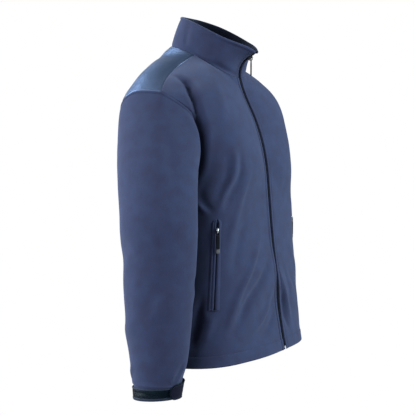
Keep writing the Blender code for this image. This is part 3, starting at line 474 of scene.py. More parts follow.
def squared(points, distances):
    """Points whose first column stands at the zip's edge, with the cloth beside it moved along."""
    moved = points.copy()
    moved[..., 0] += (ZIP_HALF - points[:, :1, 0]) * (1 - smooth(distances / SQUARED_OVER))
    return moved


def eased_middle(grid, share=1.0):
    """Grid whose two halves, which meet in its middle column, run into each other without an edge."""
    middle = grid.shape[1] // 2
    steps = np.linalg.norm(np.diff(grid, axis=1), axis=-1).mean(axis=0)
    run = np.concatenate([[0], np.cumsum(steps)])
    near = np.nonzero(np.abs(run - run[middle]) < 3 * MIDDLE_WIDTH)[0]
    weights = np.exp(-((run[near, None] - run[None, near]) / MIDDLE_WIDTH) ** 2) * np.gradient(run)[near]
    weights /= weights.sum(axis=1)[:, None]
    blend = smooth(2 - np.abs(run[near] - run[middle]) / MIDDLE_WIDTH)[None, :, None] * np.asarray(share)
    moved = grid.copy()
    moved[:, near] += blend * (weights @ grid[:, near] - grid[:, near])
    return moved


def sided(points, side):
    """Points of the wearer's left side, for side -1 mirrored to the right."""
    return points * np.array([float(side), 1.0, 1.0])


def pairs(grid, tube):
    """The columns of a grid and those next to them."""
    return (grid, np.roll(grid, -1, axis=1)) if tube else (grid[:, :-1], grid[:, 1:])


# ---------------------------------------------------------------- fine grids of the cloth
def merged(*groups):
    values = np.sort(np.concatenate([np.atleast_1d(np.asarray(group, float)) for group in groups]))
    keep = np.concatenate([[True], np.diff(values) > 1e-6])
    return values[keep]


def body_rows():
    steps = np.array(EDGE_STEPS)
    reach = ARMPIT - HEM_SIDE
    stitch = (HEM_STITCH + np.array(STITCH_STEPS)) / reach
    low = merged(np.linspace(0, 1, LOW_STEPS + 1), steps / reach, stitch)
    front = [np.linspace(i + 1, i + 2, n + 1) for i, n in enumerate(FRONT_STEPS)]
    back = [np.linspace(i + 1, i + 2, n + 1) for i, n in enumerate(BACK_STEPS)]
    seam = 1 + BACK_GUIDES
    front = merged(*front, len(FRONT_STEPS) + 1 - steps / FRONT_REACH)
    back = merged(*back, seam - steps / SEAM_REACH[0], seam + steps / SEAM_REACH[1],
                  len(BACK_STEPS) + 1 - steps / YOKE_REACH)
    return low, front[1:], back[1:]


def body_columns(is_front):
    steps = np.array(EDGE_STEPS) / QUARTER
    corner = NECK_SHARE_FRONT if is_front else NECK_SHARE_BACK
    first = ZIP_HALF / QUARTER if is_front else 0.0
    groups = [np.linspace(first, corner, 43), np.linspace(corner, 1, 57), 1 - steps]
    if is_front:
        groups += [first + steps, first + (ZIP_STITCH + np.array(STITCH_STEPS)) / QUARTER]
    return merged(*groups)


def garment():
    """Outer points of each cloth piece with the places (a, b) of its points."""
    low, high_front, high_back = body_rows()
    front_shares = body_columns(True)
    back_shares = body_columns(False)
    front = body_half(True, front_shares, low, high_front)
    back = body_half(False, back_shares, low, high_back)
    armpit_row = len(low) - 1
    seam_row = armpit_row + 1 + int(np.argmin(np.abs(high_back - 1 - BACK_GUIDES)))
    armhole = np.vstack([front[armpit_row:, -1], back[armpit_row:-1, -1][::-1][:-1]])
    front_corner = int(np.argmin(np.abs(front_shares - NECK_SHARE_FRONT)))
    back_corner = int(np.argmin(np.abs(back_shares - NECK_SHARE_BACK)))
    from_zip = (front_shares - front_shares[0]) * QUARTER
    front = squared(front, from_zip)
    whole = eased_middle(np.concatenate([back[:, ::-1], sided(back, -1)[:, 1:]], axis=1))
    back = whole[:, :back.shape[1]][:, ::-1]
    neck = np.vstack([front[-1][:front_corner + 1], back[-1][:back_corner][::-1]])
    grids = {}
    places = {}

    def faded(rows, shares):
        reached = np.concatenate([low, np.ones(rows - len(low))])
        above = np.clip((reached - FADE_FROM) / (1 - FADE_FROM), 0, 1)
        return 1 - above[:, None] * shares**3

    for name, side in (("front_left", 1), ("front_right", -1)):
        height = fold_height("body", side, front_shares + 0 * front[..., 2], front[..., 2], QUARTER)
        points = squared(raised(front, height * faded(len(front), front_shares)), from_zip)
        a = side * front_shares + 0 * front[..., 2]
        grids[name] = sided(points, side)[:, ::side]
        places[name] = np.stack([a, points[..., 2]], axis=-1)[:, ::side]
    signed = np.concatenate([back_shares[::-1], -back_shares[1:]])
    nearer = smooth(0.5 + signed * QUARTER / 0.05)
    height = nearer * fold_height("body", 1, 2 - signed + 0 * whole[..., 2], whole[..., 2], QUARTER)
    height += (1 - nearer) * fold_height("body", -1, 2 + signed + 0 * whole[..., 2], whole[..., 2], QUARTER)
    whole = raised(whole, height * faded(len(whole), np.abs(signed)))
    a = np.where(signed >= 0, 2 - signed, -(2 + signed)) + 0 * whole[..., 2]
    grids["back"] = whole[:seam_row + 1]
    places["back"] = np.stack([a, whole[..., 2]], axis=-1)[:seam_row + 1]
    grids["yoke"] = whole[seam_row:]
    depth = np.linspace(0, 1, len(whole) - seam_row)[:, None]
    places["yoke"] = np.stack([a[seam_row:], depth + 0 * a[seam_row:]], axis=-1)
    steps = np.array(EDGE_STEPS)
    stitch = np.array(STITCH_STEPS)
    up = merged(np.linspace(0, 1, COLLAR_STEPS + 1), steps / COLLAR_REACH, 1 - steps / COLLAR_REACH,
                1 - np.array(COLLAR_TURN) / COLLAR_REACH)
    stand = squared(collar_half(neck, up), lengths(neck))
    grids["collar"] = eased_middle(np.concatenate([stand, sided(stand, -1)[:, ::-1][:, 1:]], axis=1),
                                   smooth(up / COLLAR_EASED)[:, None, None])
    around = np.linspace(0, 2, grids["collar"].shape[1])
    places["collar"] = np.stack(np.broadcast_arrays(around[None, :], up[:, None]), axis=-1)
    cap = merged(np.linspace(0, 1, CAP_STEPS + 1), steps / CAP_REACH, (ARM_STITCH + stitch) / CAP_REACH)
    top, bottom = SLEEVE[0].z, SLEEVE[-1].z
    count = int(round((top - bottom) / TUBE_STEP))
    heights = merged(np.linspace(bottom, top, count + 1), bottom + steps,
                     CUFF_BAND[0] + np.array(BAND_STEPS))[:-1][::-1]
    for side_name, side in SIDES.items():
        name = "sleeve_" + side_name
        swing = SWINGS[side_name]
        rows, turn = sleeve_half(armhole, swing, cap, heights)
        share = turn / (2 * math.pi)
        girth = lengths(rows[len(cap) - 1])[-1] * (1 + 1 / len(armhole))
        centre = (SLEEVE[0].centre_x, SLEEVE[0].centre_y + swing)
        height = fold_height("sleeve", side, share + 0 * rows[..., 2], rows[..., 2], girth)
        height[0] = 0
        rows = raised(rows, height, centre)
        z = rows[..., 2]
        grids[name] = sided(rows, side)[:, ::-side]
        places[name] = np.stack([share + 0 * z, z], axis=-1)[:, ::-side]
    return grids, places


def is_tube(name):
    return name.startswith("sleeve")


def grid_normals(grids):
    """Unit normal at each point, shared by the pieces that meet there."""
    own = {}
    for name, grid in grids.items():
        tube = is_tube(name)
        here, ahead = pairs(grid, tube)
        faces = unit(np.cross(ahead[1:] - here[:-1], here[1:] - ahead[:-1]))
        total = np.zeros_like(grid)
        for down in (0, 1):
            rows = slice(down, down + faces.shape[0])
            if tube:
                total[rows] += faces + np.roll(faces, 1, axis=1)
            else:
                total[rows, :-1] += faces
                total[rows, 1:] += faces
        own[name] = unit(total)
    names = list(grids)
    points = np.concatenate([grids[n].reshape(-1, 3) for n in names])
    normals = np.concatenate([own[n].reshape(-1, 3) for n in names])
    _, group = np.unique(np.round(points * 1e5).astype(np.int64), axis=0, return_inverse=True)
    group = group.ravel()
    shared = np.zeros((group.max() + 1, 3))
    np.add.at(shared, group, normals)
    shared = unit(shared)[group]
    result = {}
    at = 0
    for name in names:
        size = grids[name].shape[0] * grids[name].shape[1]
        result[name] = shared[at:at + size].reshape(grids[name].shape)
        at += size
    for name, column in (("front_left", 0), ("front_right", -1), ("collar", 0), ("collar", -1)):
        result[name][:, column, 0] = 0
        result[name][:, column] = unit(result[name][:, column])
    return result


# ---------------------------------------------------------------- pockets' places
POCKET_TOP = (0.592, -0.356)
POCKET_END = (0.626, -0.536)
REAR_STEP = 0.03           # steps across and down that give a pocket's directions
DOWN_STEP = 0.01


def body_point(side, across, z):
    """Point on a front's cloth with its large folds."""
    out = ring(angles(across, True), z)
    return sided(raised(out, fold_height("body", side, across, z, QUARTER)), side)


def pocket_place(shares):
    """Places across and heights down a pocket's middle."""
    return [start + shares * (end - start) for start, end in zip(POCKET_TOP, POCKET_END)]


def pocket_frame(side, shares):
    """Points down a pocket's middle, with the directions along it, to the rear and out of the cloth."""
    shares = np.atleast_1d(shares)
    across, z = pocket_place(shares)
    middle = body_point(side, across, z)
    lower = body_point(side, *pocket_place(shares + DOWN_STEP))
    rearward = body_point(side, across + REAR_STEP, z) - middle
    run = unit(lower - middle)
    outward = unit(np.cross(run, rearward) * side)
    return middle, run, outward, across, z


def on_pocket(side, shares, offset, height):
    """Points at an offset to the rear of a pocket's middle and a height over the cloth."""
    _, _, outward, across, z = pocket_frame(side, shares)
    return body_point(side, across + offset / QUARTER, z) + outward * np.asarray(height)[..., None]


# ---------------------------------------------------------------- fine relief of the cloth
def lattice_noise(points, cell, seed):
    """Smooth noise between -1 and 1 whose bumps are about a cell wide."""
    scaled = points / cell + seed * 17.31
    base = np.floor(scaled).astype(np.int64)
    part = scaled - base
    part = part * part * (3 - 2 * part)
    total = np.zeros(points.shape[:-1])
    for corner in range(8):
        offset = np.array([corner & 1, corner >> 1 & 1, corner >> 2 & 1])
        key = base + offset
        mixed = key[..., 0] * 73856093 ^ key[..., 1] * 19349663 ^ key[..., 2] * 83492791 ^ seed * 2654435
        mixed = (mixed ^ mixed >> 13) * 1274126177 & 0x7FFFFFFF
        mixed = (mixed ^ mixed >> 15) & 0xFFFF
        weight = np.prod(np.where(offset == 1, part, 1 - part), axis=-1)
        total += weight * (mixed / 32767.5 - 1)
    return total


def gaps_to(points, line):
    """Distances of points from each point of a line."""
    return np.linalg.norm(points[:, None] - line[None], axis=2)


def distance_to(points, targets):
    tree = KDTree(len(targets))
    for index, target in enumerate(targets):
        tree.insert(target, index)
    tree.balance()
    return np.array([tree.find(point)[2] for point in points.reshape(-1, 3)]).reshape(points.shape[:-1])


def crease_line(piece, crease_places, grids, places):
    """Points of a crease on the cloth, from its places."""
    grid = grids[piece]
    marks = places[piece]
    around = QUARTER if piece in BODY_PIECES else AROUND
    found = []
    for a, b in crease_places:
        if is_tube(piece):
            gap = np.abs(marks[..., 0] - a % 1.0)
            gap = np.minimum(gap, 1 - gap)
        else:
            gap = marks[..., 0] - a
        miss = (gap * around) ** 2 + (marks[..., 1] - b) ** 2
        found.append(grid[np.unravel_index(np.argmin(miss), miss.shape)])
    return along(np.array(found), np.linspace(0, 1, CREASE_POINTS))


def crease_relief(points, lines):
    total = np.zeros(len(points))
    for height, width, line in lines:
        middle = line.mean(axis=0)
        size = np.linalg.norm(line - middle, axis=1).max() + 3 * width
        chosen = np.nonzero(np.linalg.norm(points - middle, axis=1) < size)[0]
        if not len(chosen):
            continue
        gaps = gaps_to(points[chosen], line)
        share = gaps.argmin(axis=1) / (len(line) - 1)
        strength = np.sin(math.pi * np.clip(share, 0.02, 0.98)) ** CREASE_ENDS
        total[chosen] += height * strength * groove(gaps.min(axis=1), 0, width)
    return total


def edge_distances(grid, tube):
    """Distance along the cloth from its first and last row, and from its first and last column."""
    steps = np.linalg.norm(np.diff(grid, axis=0), axis=-1)
    up = np.concatenate([np.zeros((1, grid.shape[1])), np.cumsum(steps, axis=0)])
    if tube:
        return up, up[-1] - up, None, None
    steps = np.linalg.norm(np.diff(grid, axis=1), axis=-1)
    right = np.concatenate([np.zeros((grid.shape[0], 1)), np.cumsum(steps, axis=1)], axis=1)
    return up, up[-1] - up, right, right[:, -1:] - right


def rounded(distance, radius):
    """Share of a radius by which a rounded edge falls away at a distance from it."""
    t = np.clip(distance / radius, 0, 1)
    return 1 - np.sqrt(1 - (1 - t) ** 2 * 0.999)


def groove(distance, at, width):
    return np.exp(-((distance - at) / width) ** 2)


def uneven_by(grid, *layers):
    return sum(height * lattice_noise(grid, cell, seed) for height, cell, seed in layers)


def turned(distance, stitch, height, depth, rise):
    """Turned edge: raised from the edge to its stitched line, which lies in a groove."""
    flat = height * smooth(distance / rise) * smooth((stitch + 0.001 - distance) / 0.002)
    return flat - depth * groove(distance, stitch, STITCH_WIDTH)


SINK = (0.0100, 0.0045)          # depth of the valley along the armhole, in front and behind
SINK_WIDTH = (0.0095, 0.0080)    # its width on the body and on the sleeve
SINK_FROM = (-0.100, -0.150)     # heights between which it grows
SINK_SWELL = (0.0020, 0.0026)    # the swelling beside it on the body and on the sleeve
SINK_HEADS = {                   # where it runs on over the chest, from its end to the armhole
    "front_right": ((-0.735, -0.040), (-0.790, -0.058), (-0.855, -0.080), (-0.915, -0.106), (-0.985, -0.152)),
    "front_left": ((0.745, -0.045), (0.805, -0.064), (0.870, -0.090), (0.925, -0.118), (0.985, -0.160)),
}
SINK_HEAD = (0.0150, 0.0075)     # depth and width of that part
SEAM_ROLL = (0.0011, 0.0030)     # depth and width of the valley at a seam
FREE_ROLL = 0.45                 # share of the wall by which a free edge is rounded on each face
STITCH_DEPTH = 0.0007
STITCH_WIDTH = 0.0013
HEM_PUFF = 0.0007
FRONT_PUFF = 0.0010
COLLAR_PUFF = 0.0005
ARM_PUFF = 0.0007
COLLAR_RIDGES = ((0.0014, 0.0034, 0.0028), (-0.0010, 0.0085, 0.0018))   # height, place below its top, width
BASE_VALLEY = (0.0065, 0.0052)   # place and width of the valley over the collar's seam, in front
BASE_DEPTH = 0.0038
CUFF_SWELL = 0.0016              # of the sleeve above the cuff's strip
CUFF_DRAWN = 0.0010              # how far it is drawn in under the strip
HEAD_SPREAD = 0.24               # size of the armhole's surroundings in which its valley lies
SWELL_PLACE = (0.021, 0.009)     # distance and width of the swelling beside the armhole
QUIET = (0.004, 0.030)           # creases start this far from a seam and are whole from here on
ZIP_QUIET = (0.003, 0.018)
POCKET_QUIET = (0.005, 0.023)
UNEVEN = ((0.0007, 0.055, 1), (0.00035, 0.024, 2))   # height, cell and seed of the cloth's uneven layers
SEAM_UNEVEN = (0.0004, 0.011, 5)
HEM_UNEVEN = (0.0008, 0.012, 8)
FREE_EDGES = {                   # which edges are free: first row, last row, first column, last column
    "front_left": (True, False, True, False),
    "front_right": (True, False, False, True),
    "back": (True, False, False, False),
    "yoke": (False, False, False, False),
    "collar": (False, True, True, True),
    "sleeve_left": (False, True, False, False),
    "sleeve_right": (False, True, False, False),
}


def armhole_valley(name, grid, armholes, heads):
    """Depth of the valley in which the armhole seams lie, at the points of a piece."""
    total = np.zeros(grid.shape[:2])
    flat = grid.reshape(-1, 3)
    tube = is_tube(name)
    for armhole, head in zip(armholes, heads):
        middle = armhole.mean(axis=0)
        growth = grown(armhole[:, 2], *SINK_FROM)
        forward = smooth(0.5 + (middle[1] - armhole[:, 1]) / 0.05)
        depth = growth * (SINK[1] + (SINK[0] - SINK[1]) * forward)
        head_depth = SINK_HEAD[0] * smooth(np.linspace(0, 1, len(head)) / 0.4)
        near = np.nonzero(np.linalg.norm(flat - middle, axis=1) < HEAD_SPREAD)[0]
        for chunk in np.array_split(near, max(1, len(near) // 4000)):
            gaps = gaps_to(flat[chunk], armhole)
            nearest = gaps.argmin(axis=1)
            gap = gaps[np.arange(len(chunk)), nearest]
            valley = depth[nearest] * groove(gap, 0, SINK_WIDTH[tube])
            aside = gaps_to(flat[chunk], head)
            reached = aside.argmin(axis=1)
            run_on = head_depth[reached] * groove(aside.min(axis=1), 0, SINK_HEAD[1])
            swell = SINK_SWELL[tube] * growth[nearest] * forward[nearest] * groove(gap, *SWELL_PLACE)
            total.reshape(-1)[chunk] += swell - (valley**4 + run_on**4) ** 0.25
    return total


def dressed(grids, places, normals):
    """Outer and inner points of every piece with its relief."""
    lines = {group: [] for group in CREASE_GROUPS}
    for piece, rows in CREASES.items():
        group = next(g for g in CREASE_GROUPS if piece in g)
        for height, width, *marks in rows:
            line = crease_line(piece, marks, grids, places)
            lines[group].append((height * CREASE_GAIN[piece], width, line))
    armhole = [grids["sleeve_right"][0], grids["sleeve_left"][0]]
    heads = [crease_line(name, marks, grids, places) for name, marks in SINK_HEADS.items()]
    fixed = np.concatenate(armhole + [grids["collar"][0]])
    zip_edges = np.concatenate([grids["front_left"][:, 0], grids["front_right"][:, -1]])
    pocket_points = np.concatenate([on_pocket(side, np.linspace(-0.06, 1.03, 60), offset, 0.0)
                                    for side in (-1, 1) for offset in (-0.008, 0.0, 0.010)])
    result = {}
    for name, grid in grids.items():
        group = next(g for g in CREASE_GROUPS if name in g)
        relief = crease_relief(grid.reshape(-1, 3), lines[group]).reshape(grid.shape[:2])
        from_fixed, from_zip = distance_to(grid, fixed), distance_to(grid, zip_edges)
        if name == "collar":
            up, down, _, _ = edge_distances(grid, False)
            relief *= smooth(np.minimum(up, down) / 0.012)
        else:
            relief *= grown(from_fixed, *QUIET) * grown(from_zip, *ZIP_QUIET)
        uneven = uneven_by(grid, *UNEVEN) * smooth(np.minimum(from_fixed, from_zip) / 0.02)
        if name.startswith("front"):
            calm = grown(distance_to(grid, pocket_points), *POCKET_QUIET)
            relief *= calm
            uneven *= calm
        up, down, right, left = edge_distances(grid, is_tube(name))
        seam_noise = uneven_by(grid, SEAM_UNEVEN)
        thickness = COLLAR_CLOTH if name == "collar" else FLEECE
        if name != "collar":
            relief = relief + armhole_valley(name, grid, armhole, heads)
        outer = relief + uneven
        inner_roll = np.zeros(grid.shape[:2])
        for free, distance in zip(FREE_EDGES[name], (up, down, right, left)):
            if distance is None:
                continue
            if free:
                roll = FREE_ROLL * thickness * rounded(distance, thickness)
                outer = outer - roll
                inner_roll = inner_roll + roll
            else:
                outer = outer - SEAM_ROLL[0] * rounded(distance, SEAM_ROLL[1])
                outer = outer + seam_noise * np.exp(-distance / 0.009) * smooth(distance / 0.002)
        outer = outer + trim_relief(name, up, down, right, left, grid)
        base = grid + normals[name] * (relief + uneven)[..., None]
        result[name] = (grid + normals[name] * outer[..., None],
                        base - normals[name] * (thickness - inner_roll)[..., None])
    return result


def trim_relief(name, up, down, right, left, grid):
    """Stitched lines, hems and turned edges of one piece."""
    total = np.zeros(up.shape)
    if name in ("front_left", "front_right", "back"):
        total += turned(up, HEM_STITCH, HEM_PUFF, STITCH_DEPTH, 0.002)
        total += uneven_by(grid, HEM_UNEVEN) * groove(up, HEM_STITCH, 0.010)
    if name.startswith("front"):
        edge = right if name == "front_left" else left
        total += turned(edge, ZIP_STITCH, FRONT_PUFF, 1.3 * STITCH_DEPTH, 0.0015)
    if name == "collar":
        for height, at, width in COLLAR_RIDGES:
            total += height * groove(down, at, width)
        forward = smooth(0.5 - (grid[..., 1] - 0.010) / 0.06)
        valley = groove(up, *BASE_VALLEY) * smooth(up / 0.0040)
        edge = np.minimum(right, left)
        total -= BASE_DEPTH * valley * smooth(edge / 0.030) * forward
        total += turned(edge, ZIP_STITCH, COLLAR_PUFF, 0.8 * STITCH_DEPTH, 0.0015)
    if name.startswith("sleeve"):
        z = grid[..., 2]
        total += CUFF_SWELL * groove(z, CUFF_BAND[0] + 0.0062, 0.0030)
        total -= CUFF_DRAWN * smooth((CUFF_BAND[0] + 0.0030 - z) / 0.002)
        total += turned(up, ARM_STITCH, ARM_PUFF, STITCH_DEPTH, 0.002)
    return total


# ---------------------------------------------------------------- making meshes
def linked(name, data):
    """New object with its data, in the scene."""
    thing = bpy.data.objects.new(name, data)
    bpy.context.scene.collection.objects.link(thing)
    return thing


def new_object(name, verts, faces, material, body="jacket", slot=None, smooth_angle=50):
    mesh = bpy.data.meshes.new(name)
    mesh.from_pydata(np.asarray(verts).tolist(), [], [list(map(int, f)) for f in faces])
    mesh.validate()
    mesh.update()
    mesh.shade_smooth()
    mesh.set_sharp_from_angle(angle=math.radians(smooth_angle))
    mesh.materials.append(material)
    thing = linked(name, mesh)
    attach(thing, body)
    return thing


def grid_faces(rows, columns, tube, start=0, flip=False):
    here, ahead = pairs(np.arange(rows * columns).reshape(rows, columns) + start, tube)
    quads = np.stack([here[:-1], ahead[:-1], ahead[1:], here[1:]], axis=-1).reshape(-1, 4)
    return quads[:, ::-1] if flip else quads


def wall(name, outer, inner, tube, material, **more):
    """Closed wall between two grids of points."""
    rows, columns = outer.shape[:2]
    size = rows * columns
    index = np.arange(size).reshape(rows, columns)
    faces = [grid_faces(rows, columns, tube), grid_faces(rows, columns, tube, size, True)]
    here, ahead = pairs(index, tube)
    rims = [(ahead[0], here[0]), (here[-1], ahead[-1])]
    if not tube:
        rims += [(index[:-1, 0], index[1:, 0]), (index[1:, -1], index[:-1, -1])]
    faces += [np.stack([a, b, b + size, a + size], axis=-1) for a, b in rims]
    verts = np.concatenate([outer.reshape(-1, 3), inner.reshape(-1, 3)])
    return new_object(name, verts, np.concatenate(faces), material, **more)


def swept(line, normals, profile, closed=False):
    """Sections of a profile (aside, out) along a line, aside to the right of the run as seen from outside."""
    run = unit(np.roll(line, -1, axis=0) - np.roll(line, 1, axis=0) if closed else np.gradient(line, axis=0))
    aside = unit(np.cross(run, normals))
    profile = np.asarray(profile)
    return line[:, None] + aside[:, None] * profile[None, :, :1] + normals[:, None] * profile[None, :, 1:]


class Bits:
    """Many small closed pieces gathered into one mesh."""

    def __init__(self):
        self.verts = []
        self.faces = []

    def add(self, verts, faces):
        start = len(self.verts)
        self.verts.extend(np.asarray(verts).tolist())
        self.faces.extend([[start + i for i in face] for face in faces])

    def block(self, centre, x, y, z, half, top):
        """Adds a block with half sizes along three directions, whose outer face is smaller by top."""
        points = []
        for h, s in ((-1, 1.0), (1, top)):
            for sx, sy in ((-1, -1), (1, -1), (1, 1), (-1, 1)):
                points.append(centre + x * half[0] * sx * s + y * half[1] * sy * s + z * half[2] * h)
        self.add(points, BLOCK_FACES)

    def made(self, name, material, **more):
        return new_object(name, self.verts, self.faces, material, **more)


BLOCK_FACES = ((0, 3, 2, 1), (4, 5, 6, 7), (0, 1, 5, 4), (1, 2, 6, 5), (2, 3, 7, 6), (3, 0, 4, 7))
STITCH_FACES = []
for _k in range(4):
    _n = (_k + 1) % 4
    STITCH_FACES += [(0, 1 + _n, 1 + _k), (1 + _k, 1 + _n, 5 + _n, 5 + _k), (5 + _k, 5 + _n, 9)]


PITCH = 0.0034             # of the long stitches
SHORT_PITCH = 0.0030
STITCH = 0.72              # share of the pitch that a stitch shows
STITCH_RADIUS = 0.00030
STITCH_SINK = 0.00008      # into the cloth


def add_stitches(bits, line, normals, pitch=PITCH):
    """Row of stitches along a line on the cloth."""
    run = lengths(line)
    marks = 0.5 + STITCH * np.array([-1 / 2, -1 / 5, 1 / 5, 1 / 2])
    for k in range(int(run[-1] / pitch)):
        place = picked(line, run, (k + marks) * pitch)
        out = unit(picked(normals, run, (k + marks) * pitch))
        ahead = unit(place[3] - place[0])
        aside = np.cross(out[1], ahead)
        ends = place - out * 2 * STITCH_SINK
        verts = [ends[0]]
        for j in (1, 2):
            middle = place[j] + out[j] * (STITCH_RADIUS - STITCH_SINK)
            verts += [middle + STITCH_RADIUS * (aside * math.cos(t) + out[j] * math.sin(t)) for t in turns(4)]
        bits.add(verts + [ends[3]], STITCH_FACES)


# ---------------------------------------------------------------- materials
def new_node(tree, kind, output, links, values=(), **settings):
    """Output of a new node with its settings, the values of its sockets and what is linked to them."""
    node = tree.nodes.new("ShaderNode" + kind)
    for setting, value in settings.items():
        setattr(node, setting, value)
    for socket, value in dict(values).items():
        node.inputs[socket].default_value = value
    for socket, source in links.items():
        tree.links.new(source, node.inputs[socket])
    return node.outputs[output]


def noise_node(tree, coords, scale, detail=2.0, rough=0.5):
    return new_node(tree, "TexNoise", "Fac", {"Vector": coords},
                    {"Scale": scale, "Detail": detail, "Roughness": rough})


def ramp_node(tree, value, *stops):
    colour = new_node(tree, "ValToRGB", "Color", {"Fac": value})
    for element, (place, shade) in zip(colour.node.color_ramp.elements, stops):
        element.position = place
        element.color = (*shade, 1.0)
    return colour


def bump_node(tree, height, distance, strength, before=None):
    links = {"Height": height} if before is None else {"Height": height, "Normal": before}
    return new_node(tree, "Bump", "Normal", links, {"Distance": distance, "Strength": strength})


def wave_node(tree, coords, scale, direction):
    return new_node(tree, "TexWave", "Fac", {"Vector": coords},
                    {"Scale": scale, "Distortion": 0.4, "Detail": 1.0}, wave_type="BANDS",
                    bands_direction=direction)


def started(name, sockets):
    made = bpy.data.materials.new(name)
    made.use_nodes = True
    tree = made.node_tree
    shader = tree.nodes["Principled BSDF"]
    for socket, value in sockets.items():
        shader.inputs[socket].default_value = value
    coords = tree.nodes.new("ShaderNodeTexCoord").outputs["Object"]
    return made, tree, shader, coords


def scaled(colour, by):
    return tuple(c * by for c in colour)


def coloured(tree, shader, coords, colour, patches, specks, contrast=0.10, other=None):
    """Base colour with large soft patches and fine specks."""
    other = other or scaled(colour, 1 + contrast)
    base = ramp_node(tree, noise_node(tree, coords, patches, 3.0),
                     (0.30, scaled(colour, 1 - contrast)), (0.70, other))
    speck = ramp_node(tree, noise_node(tree, coords, specks, 2.0, 0.6),
                      (0.30, (0.80, 0.80, 0.82)), (0.70, (1.0, 1.0, 1.0)))
    mixed = new_node(tree, "Mix", "Result", {"A": base, "B": speck}, {"Factor": 0.8}, data_type="RGBA",
                     blend_type="MULTIPLY")
    tree.links.new(mixed, shader.inputs["Base Color"])


def fleece_material(name, colour, other):
    made, tree, shader, coords = started(name, {
        "Roughness": 0.93, "Specular IOR Level": 0.02, "Sheen Weight": 0.05, "Sheen Roughness": 0.45,
        "Sheen Tint": (0.55, 0.66, 0.95, 1.0),
    })
    coloured(tree, shader, coords, colour, 38.0, 420.0, 0.13, scaled(other, 1.06))
    nap = bump_node(tree, noise_node(tree, coords, 1500.0, 2.0, 0.7), 0.0003, 0.55)
    pile = bump_node(tree, noise_node(tree, coords, 330.0, 3.0, 0.6), 0.0006, 0.28, nap)
    tree.links.new(pile, shader.inputs["Normal"])
    return made


def woven_material(name, colour, roughness, thread, sheen, specular, tint=(1.0, 1.0, 1.0), metallic=0.0):
    made, tree, shader, coords = started(name, {
        "Roughness": roughness, "Specular IOR Level": specular, "Sheen Weight": sheen, "Metallic": metallic,
        "Sheen Roughness": 0.4, "Sheen Tint": (0.6, 0.7, 0.95, 1.0), "Specular Tint": (*tint, 1.0),
    })
    coloured(tree, shader, coords, colour, 22.0, 700.0, 0.08)
    bump = None
    for direction in ("X", "Y", "Z"):
        bump = bump_node(tree, wave_node(tree, coords, thread, direction), 0.00015, 0.22, bump)
    rumple = bump_node(tree, noise_node(tree, coords, 60.0, 2.0), 0.0012, 0.25, bump)
    tree.links.new(rumple, shader.inputs["Normal"])
    return made


def hard_material(name, colour, roughness, metallic=0.0, specular=0.5):
    made, tree, shader, coords = started(name, {"Metallic": metallic, "Specular IOR Level": specular})
    coloured(tree, shader, coords, colour, 90.0, 900.0, 0.08)
    wear = new_node(tree, "MapRange", "Result", {"Value": noise_node(tree, coords, 240.0, 3.0, 0.6)},
                    {"To Min": roughness * 0.8, "To Max": roughness * 1.2})
    tree.links.new(wear, shader.inputs["Roughness"])
    fine = bump_node(tree, noise_node(tree, coords, 900.0, 2.0), 0.00005, 0.5)
    tree.links.new(fine, shader.inputs["Normal"])
    return made


FLEECE_NAVY = fleece_material("navy_fleece", (0.0076, 0.0094, 0.0204), (0.0070, 0.0098, 0.0216))
# Darker copy of the navy fleece for the inner faces: painted shade, standing in for the shade inside the
# jacket.
FLEECE_PAINTED_SHADE_INSIDE = fleece_material("navy_fleece_painted_shade_inside", (0.0024, 0.0031, 0.0066), (0.0024, 0.0034, 0.0070))
SHELL_NAVY = woven_material("navy_shell", (0.0200, 0.0295, 0.0510), 0.40, 520.0, 0.0, 0.0,
                            (0.66, 0.74, 0.90), 0.8)
TRIM_DARK = woven_material("dark_trim", (0.0005, 0.0011, 0.0020), 0.42, 420.0, 0.0, 0.02, (0.4, 0.8, 1.0))
TRIM_EDGE = woven_material("trim_edge", (0.0038, 0.0064, 0.0115), 0.60, 420.0, 0.02, 0.03)
TAB_FACE = woven_material("tab_face", (0.0016, 0.0019, 0.0044), 0.70, 380.0, 0.02, 0.01)
TAPE_WEAVE = woven_material("zip_tape", (0.0016, 0.0022, 0.0044), 0.80, 700.0, 0.01, 0.01)
THREAD = woven_material("thread", (0.0064, 0.0088, 0.0180), 0.60, 900.0, 0.03, 0.05)
NYLON = hard_material("moulded_nylon", (0.0009, 0.0013, 0.0026), 0.50, specular=0.02)
GRIP = hard_material("moulded_grip", (0.0009, 0.0013, 0.0024), 0.60, specular=0.03)
PALE_TIP = hard_material("pale_tip", (0.0210, 0.0230, 0.0270), 0.45, specular=0.15)
BRIGHT = hard_material("slider_metal", (0.3000, 0.3200, 0.3600), 0.34, 1.0)
DARK_METAL = hard_material("dark_metal", (0.0024, 0.0030, 0.0048), 0.45, 0.0, specular=0.05)


# ---------------------------------------------------------------- cloth
grids, places = garment()
normals = grid_normals(grids)
cloth = dressed(grids, places, normals)
for name, (outer, inner) in cloth.items():
    finish, slot = (SHELL_NAVY, "shell") if name == "yoke" else (FLEECE_NAVY, "fleece")
    piece = wall(name + "_cloth", outer, inner, is_tube(name), finish, slot=slot)
    # The inner faces take the darker copy of the fleece, painted shade for the inside of the jacket.
    piece.data.materials.append(FLEECE_PAINTED_SHADE_INSIDE)
    one_face = (outer.shape[0] - 1) * (outer.shape[1] - (0 if is_tube(name) else 1))
    for index in range(one_face, 2 * one_face):
        piece.data.polygons[index].material_index = 1
    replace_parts(piece, name)


# ---------------------------------------------------------------- stitches on the cloth
YOKE_STITCH = 0.0050
